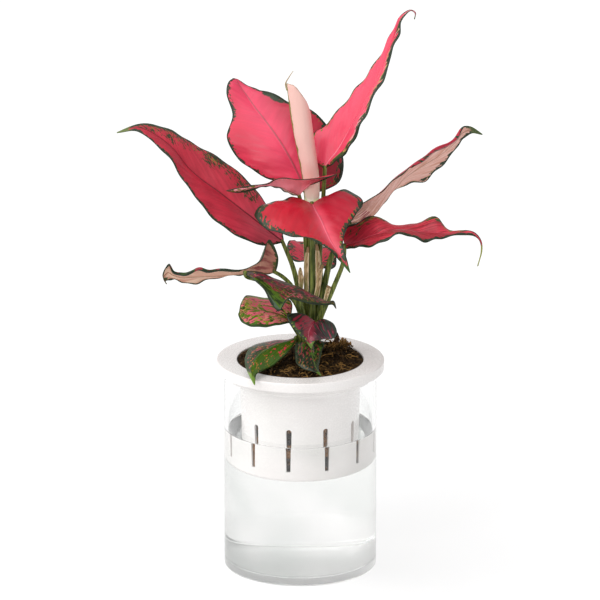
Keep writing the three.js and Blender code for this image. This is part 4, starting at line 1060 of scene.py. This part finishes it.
def make_tube(name, line, radius_at, rows=48, columns=18, groove=0.0):
    """A closed tube along a line, which may have a groove along its front."""
    def surface(across, along):
        ahead = heading(line, along).normalized()
        aside = ahead.cross(Vector((0, 1, 0))).normalized()
        back = aside.cross(ahead)
        angle = -math.pi * across
        radius = radius_at(along) * MM
        radius *= 1 - groove * math.exp(-((angle + math.pi / 2) / GROOVE_ANGLE) ** 2)
        return line(along) + (aside * math.cos(angle) + back * math.sin(angle)) * radius

    tube = shaped_grid(name, columns, rows, surface)
    close_up(tube)
    return tube


def make_shoot(name, finish):
    """The petioles of a shoot, joined in its collar, and on the main one the roll's stalk."""
    parts = []
    for blade, foot, route in PETIOLES[name]:
        points = [place(point) for point in route]
        base = place(BLADES[blade][0][1])
        lead = (base - points[-1]).normalized()
        points.append(base + lead * PETIOLE_REACH * MM)

        def radius_at(share, foot=foot):
            return foot + (PETIOLE_TIP_RADIUS - foot) * math.sqrt(share)

        parts.append(make_tube(blade + "_petiole", smooth_line(points), radius_at, groove=0.14))
    if name == "main_stem":
        stalk = smooth_line([place(point) for point in ROLL_STALK])
        parts.append(make_tube("roll_stalk", stalk, lambda share: ROLL_STALK_RADIUS, groove=0.1))
    across, back, radius, collar = SHOOTS[name]
    low = Vector((across, back, RIM_Z - STEM_ROOTING)) * MM
    high = Vector((across, back, RIM_Z + collar)) * MM
    parts.append(make_tube(name + "_collar", lambda share: low.lerp(high, share),
                           lambda share: radius - 2.0 * max(0, share - 0.7), rows=12, columns=24))
    settle(join(name, parts), [name], "green_stem", [finish])
    bpy.ops.object.shade_smooth()


# ---- the rolled new leaf -------------------------------------------------------------------

roll_line = smooth_line([place(point) for point in ROLL_AXIS])


def roll_surface(across, along):
    """A point of the roll: its left edge is across 1, and it winds round the front inwards."""
    turn = ROLL_TURNS * (1 - across) / 2
    place_round = (turn + ROLL_START) * 8
    eighth = min(int(place_round), len(ROLL_MOUTH) - 2)
    part = place_round - eighth
    mouth = ROLL_MOUTH[eighth] * (1 - part) + ROLL_MOUTH[eighth + 1] * part
    foot_rise, top_rise = ROLL_AXIS[0][2], ROLL_AXIS[-1][2]
    rise = foot_rise + (mouth - foot_rise) * along
    share = min(1, (rise - foot_rise) / (top_rise - foot_rise))
    radius = (ROLL_FOOT_RADIUS + (ROLL_TOP_RADIUS - ROLL_FOOT_RADIUS) * math.sqrt(share)
              - ROLL_PITCH * turn - ROLL_TUCK * max(0, 1 - along / ROLL_TUCK_SHARE) ** 2)
    angle = math.pi + 2 * math.pi * (turn + ROLL_START)
    return roll_line(share) + Vector((math.cos(angle), math.sin(angle), 0)) * radius * MM


def make_roll(upper, under):
    """The rolled blade, joined with the thin spike that its tip ends in."""
    roll = shaped_grid("rolled_blade", 72, 60, roll_surface)
    map_reach(roll, lambda across, along: (ROLL_HALF * abs(across) * MM,
                                           ROLL_HALF * (1 - abs(across)) * MM))
    spike = make_tube("roll_spike", smooth_line([place(point) for point in ROLL_SPIKE]),
                      lambda share: ROLL_SPIKE_RADIUS - ROLL_SPIKE_TAPER * share,
                      rows=10, columns=8)
    for part in (roll, spike):
        part.data.materials.append(upper)
        part.data.materials.append(under)
    for face in spike.data.polygons:
        face.material_index = 1
    thicken(roll, ROLL_THICKNESS)
    settle(join("leaf_rolled", [roll, spike]), ["leaf_rolled"], "pale_blade", [])
    bpy.ops.object.shade_smooth()


# ---- vessel, inner pot, water and soil -----------------------------------------------------


def let_lamps_through(piece):
    """Clear things neither shade what is in them nor darken it."""
    piece.visible_shadow = False
    piece.visible_diffuse = False


def make_vessel(finish):
    inner = VESSEL_RADIUS - VESSEL_WALL
    vessel = round_blank("clear_vessel", VESSEL_RADIUS, 0, VESSEL_HEIGHT)
    step_in(vessel, VESSEL_HEIGHT, 1, VESSEL_WALL)
    push_cap(VESSEL_BASE - VESSEL_HEIGHT)
    object_mode()
    round_ring(vessel, VESSEL_RADIUS, 0, VESSEL_EDGE, 6)
    round_ring(vessel, inner, VESSEL_BASE, VESSEL_EDGE, 6)
    round_ring(vessel, VESSEL_RADIUS, VESSEL_HEIGHT, VESSEL_LIP, 3)
    round_ring(vessel, inner, VESSEL_HEIGHT, VESSEL_LIP, 3)
    settle(vessel, ["glass_vessel"], "clear_glass", [finish])
    let_lamps_through(vessel)
    smooth_rounds(vessel, 40)


def slot_cutter(angle):
    """A tall wedge with a round head, through the pot's wall."""
    top, bottom = (RIM_Z - SLOT_TOP) * MM, (RIM_Z - SLOT_BOTTOM) * MM
    middle = (top + bottom) / 2
    deselect()
    bpy.ops.mesh.primitive_cube_add(size=1, location=(POT_RADIUS * MM, 0, middle),
                                    scale=(SLOT_CUT * MM, SLOT_WIDTH * MM, top - bottom))
    cutter = named("slot_cutter")
    bpy.ops.object.transform_apply(location=True, rotation=True, scale=True)
    for vertex in cutter.data.vertices:
        if vertex.co.z < middle:
            vertex.co.y *= SLOT_FOOT_WIDTH / SLOT_WIDTH
    edit_edges(cutter, lambda start, end: min(start.z, end.z) > top - NEAR * MM
               and start.y * end.y > 0)
    bpy.ops.mesh.bevel(offset=0.49 * SLOT_WIDTH * MM, segments=8)
    object_mode()
    cutter.data.transform(Matrix.Rotation(angle, 4, "Z"))
    return cutter


def make_inner_pot(finish):
    pot = round_blank("hanging_pot", FLANGE_RADIUS, RIM_Z - FLANGE_THICKNESS, RIM_Z)
    # down from the flange: the ring, the shoulder and the body
    step_in(pot, RIM_Z - FLANGE_THICKNESS, -1, FLANGE_RADIUS - RING_RADIUS)
    push_cap(FLANGE_THICKNESS - RING_DEPTH)
    neck = MOUTH_RADIUS + POT_WALL
    bpy.ops.mesh.inset(thickness=(RING_RADIUS - neck) * MM)
    push_cap(RING_DEPTH - SHOULDER_DEPTH, POT_RADIUS / neck)
    push_cap(SHOULDER_DEPTH - POT_DEPTH, POT_FOOT_RADIUS / POT_RADIUS)
    object_mode()
    # and down inside, from the mouth to the floor
    step_in(pot, RIM_Z, 1, FLANGE_RADIUS - MOUTH_RADIUS)
    push_cap(-RING_DEPTH)
    push_cap(RING_DEPTH - SHOULDER_DEPTH, (POT_RADIUS - POT_WALL) / MOUTH_RADIUS)
    push_cap(SHOULDER_DEPTH + POT_FLOOR - POT_DEPTH,
             (POT_FOOT_RADIUS - POT_WALL) / (POT_RADIUS - POT_WALL))
    object_mode()
    for radius, depth, size in ((FLANGE_RADIUS, 0, 1.4), (FLANGE_RADIUS, FLANGE_THICKNESS, 1.2),
                                (MOUTH_RADIUS, 0, 1.0), (RING_RADIUS, RING_DEPTH, 1.0),
                                (POT_FOOT_RADIUS, POT_DEPTH, 2.2)):
        round_ring(pot, radius, RIM_Z - depth, size)
    cutter = join("slot_cutters", [slot_cutter(SLOT_FIRST + 2 * math.pi * slot / SLOT_COUNT)
                                   for slot in range(SLOT_COUNT)])
    apply_modifier(pot, "BOOLEAN", operation="DIFFERENCE", object=cutter)
    bpy.data.objects.remove(cutter)
    settle(pot, ["inner_pot"], "white_pot", [finish])
    smooth_rounds(pot, 35)


WATER_OVERLAP = 0.05             # into the vessel's wall and base, so that no air parts them


def make_water(finish):
    """The water, whose surface climbs the vessel's wall in three small steps."""
    outer = VESSEL_RADIUS - VESSEL_WALL + WATER_OVERLAP
    floor, surface = VESSEL_BASE - WATER_OVERLAP, RIM_Z - WATER_DEPTH
    water = round_blank("water_fill", outer, floor, surface)
    for width, drop in ((0.5, 0.5), (0.7, 0.35), (1.2, 0.15)):
        step_in(water, surface, 1, width)
        bpy.ops.transform.translate(value=(0, 0, -drop * MM))
        surface -= drop
        object_mode()
    round_ring(water, outer, floor, VESSEL_EDGE, 6)
    settle(water, ["water"], "water", [finish])
    let_lamps_through(water)
    smooth_rounds(water, 50)


def soil_top(x, y):
    """The height of the soil's top, as in the solids; millimetres."""
    fall = min(1, math.hypot(x, y) / MOUTH_RADIUS)
    away = math.hypot(x - MOUND[0], y - MOUND[1]) / MOUND[2]
    flat = 1 - fall ** 4
    low = 0.8 * math.sin(0.9 * x + 1.3) * math.sin(0.8 * y + 0.4)
    return (RIM_Z - SOIL_EDGE_DEPTH + SOIL_CROWN * (1 - fall * fall)
            + (MOUND[3] * math.exp(-away * away) + low) * flat)


def make_soil(finish):
    """The soil's plug, a grid rolled up round the axis, with crumbs raised on its top."""
    rough = random.Random(5)
    crumbs = [(rough.uniform(0.25, 0.9), rough.uniform(0, math.tau), rough.uniform(0, math.tau))
              for _ in range(24)]
    edge = MOUTH_RADIUS - SOIL_GAP
    wall = [(edge, RIM_Z - SOIL_EDGE_DEPTH), (edge, RIM_Z - RING_DEPTH),
            (POT_RADIUS - POT_WALL - SOIL_GAP, RIM_Z - SHOULDER_DEPTH),
            (POT_FOOT_RADIUS - POT_WALL - SOIL_GAP, RIM_Z - POT_DEPTH + POT_FLOOR + SOIL_GAP)]
    top_share = 0.8              # of the grid's rows lie on top, and the rest down the side

    def surface(across, along):
        angle = math.pi * across
        if along < top_share:
            radius = edge * along / top_share
            x, y = radius * math.cos(angle), radius * math.sin(angle)
            bump = sum(math.sin(size * x + a) * math.sin(size * y + b) for size, a, b in crumbs)
            height = soil_top(x, y) + CRUMB_HEIGHT * bump * (1 - (radius / MOUTH_RADIUS) ** 8)
        else:
            step = (along - top_share) / (1 - top_share) * (len(wall) - 1)
            corner = min(int(step), len(wall) - 2)
            part = step - corner
            (r1, h1), (r2, h2) = wall[corner:corner + 2]
            radius, height = r1 + (r2 - r1) * part, h1 + (h2 - h1) * part
            x, y = radius * math.cos(angle), radius * math.sin(angle)
        return Vector((x, y, height)) * MM

    soil = shaped_grid("soil", 120, 75, surface)
    close_up(soil)
    settle(soil, ["soil"], "soil", [finish])
    bpy.ops.object.shade_smooth_by_angle(angle=math.radians(60))


def spot_on_soil(rough, margin):
    """A random place on the soil, no nearer to the pot than the margin."""
    radius = (MOUTH_RADIUS - margin) * math.sqrt(rough.random())
    angle = rough.uniform(0, math.tau)
    return radius * math.cos(angle), radius * math.sin(angle)


def make_clods(finish, count=340):
    """Clods and chips of bark on the soil, each a small rough copy of one lump."""
    rough = random.Random(23)
    deselect()
    bpy.ops.mesh.primitive_ico_sphere_add(subdivisions=1, radius=1)
    clods = named("soil_clods")
    corners = [vertex.co.copy() for vertex in clods.data.vertices]
    faces = [tuple(face.vertices) for face in clods.data.polygons]
    points, polygons = [], []
    for _ in range(count):
        x, y = spot_on_soil(rough, 4)
        on_mound = math.hypot(x - MOUND[0], y - MOUND[1]) < MOUND_REACH
        size = rough.uniform(0.7, 2.0) + (0.9 if on_mound else 0)
        stretch = Vector((rough.uniform(0.8, 1.9), 1.0, rough.uniform(0.4, 0.9)))
        turn = (Matrix.Rotation(rough.uniform(0, math.tau), 3, "Z")
                @ Matrix.Rotation(rough.uniform(-0.5, 0.5), 3, "Y"))
        middle = Vector((x, y, soil_top(x, y) + 0.15 * size))
        polygons += [tuple(corner + len(points) for corner in face) for face in faces]
        for corner in corners:
            spread = corner * stretch * size * rough.uniform(0.7, 1.15)
            points.append((middle + turn @ spread) * MM)
    clods.data.clear_geometry()
    clods.data.from_pydata(points, [], polygons)
    settle(clods, [], "soil", [finish])


def fibre_route(rough, heap):
    """Four points of a loose fibre on the soil, or of one that lies heaped on the mound."""
    x, y = spot_on_soil(rough, 3)
    if heap:
        x, y = (middle + rough.uniform(-8, 7) for middle in MOUND[:2])
    way = rough.uniform(0, math.tau)
    length = rough.uniform(2.5, 9)
    bend = rough.uniform(-0.9, 0.9)
    limit = MOUTH_RADIUS - 1.5
    points = []
    for step in range(4):
        way += bend / 3
        reach = math.hypot(x, y)
        if reach > limit:
            x, y = (part * limit / reach for part in (x, y))
        lift = 0.5 + (0.8 if step in (1, 2) else 0) * rough.random()
        if heap:
            lift += rough.uniform(0, 6.5) * math.sin(math.pi * (step + 0.5) / 4)
        points.append(Vector((x, y, soil_top(x, y) + lift)) * MM)
        x += math.cos(way) * length / 3
        y += math.sin(way) * length / 3
    return points


def make_fibres(finish, count=420, heaped=36):
    """Root and bark fibres on the soil, the first of them heaped on the mound."""
    rough = random.Random(11)
    curve = bpy.data.curves.new("soil_fibres", "CURVE")
    curve.dimensions = "3D"
    curve.bevel_depth = 1.0
    curve.bevel_resolution = 0
    curve.use_fill_caps = True
    for order in range(count):
        heap = order < heaped
        points = fibre_route(rough, heap)
        thick = rough.uniform(0.3, 0.7) if heap else rough.uniform(0.15, 0.5)
        spline = curve.splines.new("POLY")
        spline.points.add(len(points) - 1)
        for knot, point in zip(spline.points, points):
            knot.co = (*point, 1)
            knot.radius = thick * MM
    strands = bpy.data.objects.new("soil_fibres", curve)
    bpy.context.scene.collection.objects.link(strands)
    only(strands)
    bpy.ops.object.convert(target="MESH")
    settle(named("soil_fibres"), [], "soil", [finish])


# ---- the plant -----------------------------------------------------------------------------


def make_plant():
    for name, record_slot, upper, under, ripple, waves in LEAVES:
        stations = BLADES[name]
        length = rib_length(stations)
        make_blade(name, stations, blade_finish(name + " upper face", length, **upper),
                   blade_finish(name + " underside", length, **under), record_slot, ripple, waves)
    dry = blade_finish("dried sheath", SHEATH_LENGTH, **DRY_SHEATH)
    bark = stem_finish("bark", "#22140b", "#64462b", gloss=0.9, width=0.8)
    for name, stations in STRIPS.items():
        finish, record_slot = (bark, "bark") if name == "bark_curl" else (dry, "dry_sheath")
        make_blade(name, stations, finish, finish, record_slot, ripple=0.8, waves=3.0,
                   columns=12, rows=36, thickness=0.7)
    green = stem_finish("green stem", "#384610", "#76803a")
    for name in SHOOTS:
        make_shoot(name, green)
    make_roll(blade_finish("new leaf upper face", ROLL_LENGTH, **ROLL_UPPER),
              blade_finish("new leaf underside", ROLL_LENGTH, **ROLL_UNDER))


# ---- the studio, in metres -----------------------------------------------------------------

FLOOR_SIZE = 30
FLOOR_DROP = 0.0005
WALL_LIGHT = 0.6                 # what the walls of the studio give
WALL_THROUGH_GLASS = 1.0         # and how bright they are, seen through glass
WINDOW_SPOT, WINDOW_AIM = Vector((-2, -2, 3)), Vector((0.55, 0.24, -1.0))
KEY_SPOT, KEY_TARGET = Vector((-1.6, -2.0, 1.5)), Vector((0, 0, 0.22))
SENSOR_WIDTH = 36                # millimetres
FAR_END = 100


def hang_lamp(kind, name, spot, aim, **values):
    bpy.ops.object.light_add(type=kind, location=spot)
    lamp = bpy.context.active_object
    lamp.name = name
    lamp.rotation_euler = aim.to_track_quat("-Z", "Y").to_euler()
    for key, value in values.items():
        setattr(lamp.data, key, value)


def make_studio():
    """A pale floor that glows a little, pale walls all round, a soft window and a key lamp."""
    deselect()
    bpy.ops.mesh.primitive_plane_add(size=FLOOR_SIZE, location=(0, 0, -FLOOR_DROP))
    floor = named("floor")
    floor.data.materials.append(Finish("pale floor").set(
        Base_Color=grey(0.6), Roughness=0.9, Emission_Color=grey(1.0), Emission_Strength=0.3))
    world = bpy.data.worlds.new("soft studio")
    world.use_nodes = True
    nodes, links = world.node_tree.nodes, world.node_tree.links
    nodes["Background"].inputs["Color"].default_value = grey(1.0)
    ray = nodes.new("ShaderNodeLightPath")
    strength = nodes.new("ShaderNodeMapRange")
    strength.inputs["To Min"].default_value = WALL_LIGHT
    strength.inputs["To Max"].default_value = WALL_THROUGH_GLASS
    links.new(ray.outputs["Is Transmission Ray"], strength.inputs["Value"])
    links.new(strength.outputs["Result"], nodes["Background"].inputs["Strength"])
    bpy.context.scene.world = world
    hang_lamp("SUN", "soft_window", WINDOW_SPOT, WINDOW_AIM, energy=2.5, angle=math.radians(85))
    hang_lamp("AREA", "key_light", KEY_SPOT, KEY_TARGET - KEY_SPOT, energy=8, size=0.5)


def make_camera():
    across, rise = FRAME_CENTRE
    back = Vector((0, -math.cos(EYE_TILT), math.sin(EYE_TILT)))
    up = Vector((0, math.sin(EYE_TILT), math.cos(EYE_TILT)))
    target = (Vector((across, 0, RIM_Z)) + up * rise) * MM
    bpy.ops.object.camera_add(location=target + back * EYE_DISTANCE * MM)
    camera = bpy.context.active_object
    camera.rotation_euler = (-back).to_track_quat("-Z", "Y").to_euler()
    camera.data.sensor_width = SENSOR_WIDTH
    camera.data.lens = SENSOR_WIDTH * EYE_DISTANCE / FRAME_WIDTH
    camera.data.clip_end = FAR_END
    bpy.context.scene.camera = camera
    bpy.context.scene.view_settings.view_transform = "Standard"


make_studio()
make_vessel(clear_finish("clear glass", "#fbfcfb", "#ffffff", 1.5, foot=0.4))
make_inner_pot(pot_finish())
make_water(clear_finish("water", "#ebedec", "#f8f8f7", 1.33))
earth = soil_finish()
make_soil(earth)
make_clods(earth)
make_fibres(fibre_finish())
make_plant()
make_camera()
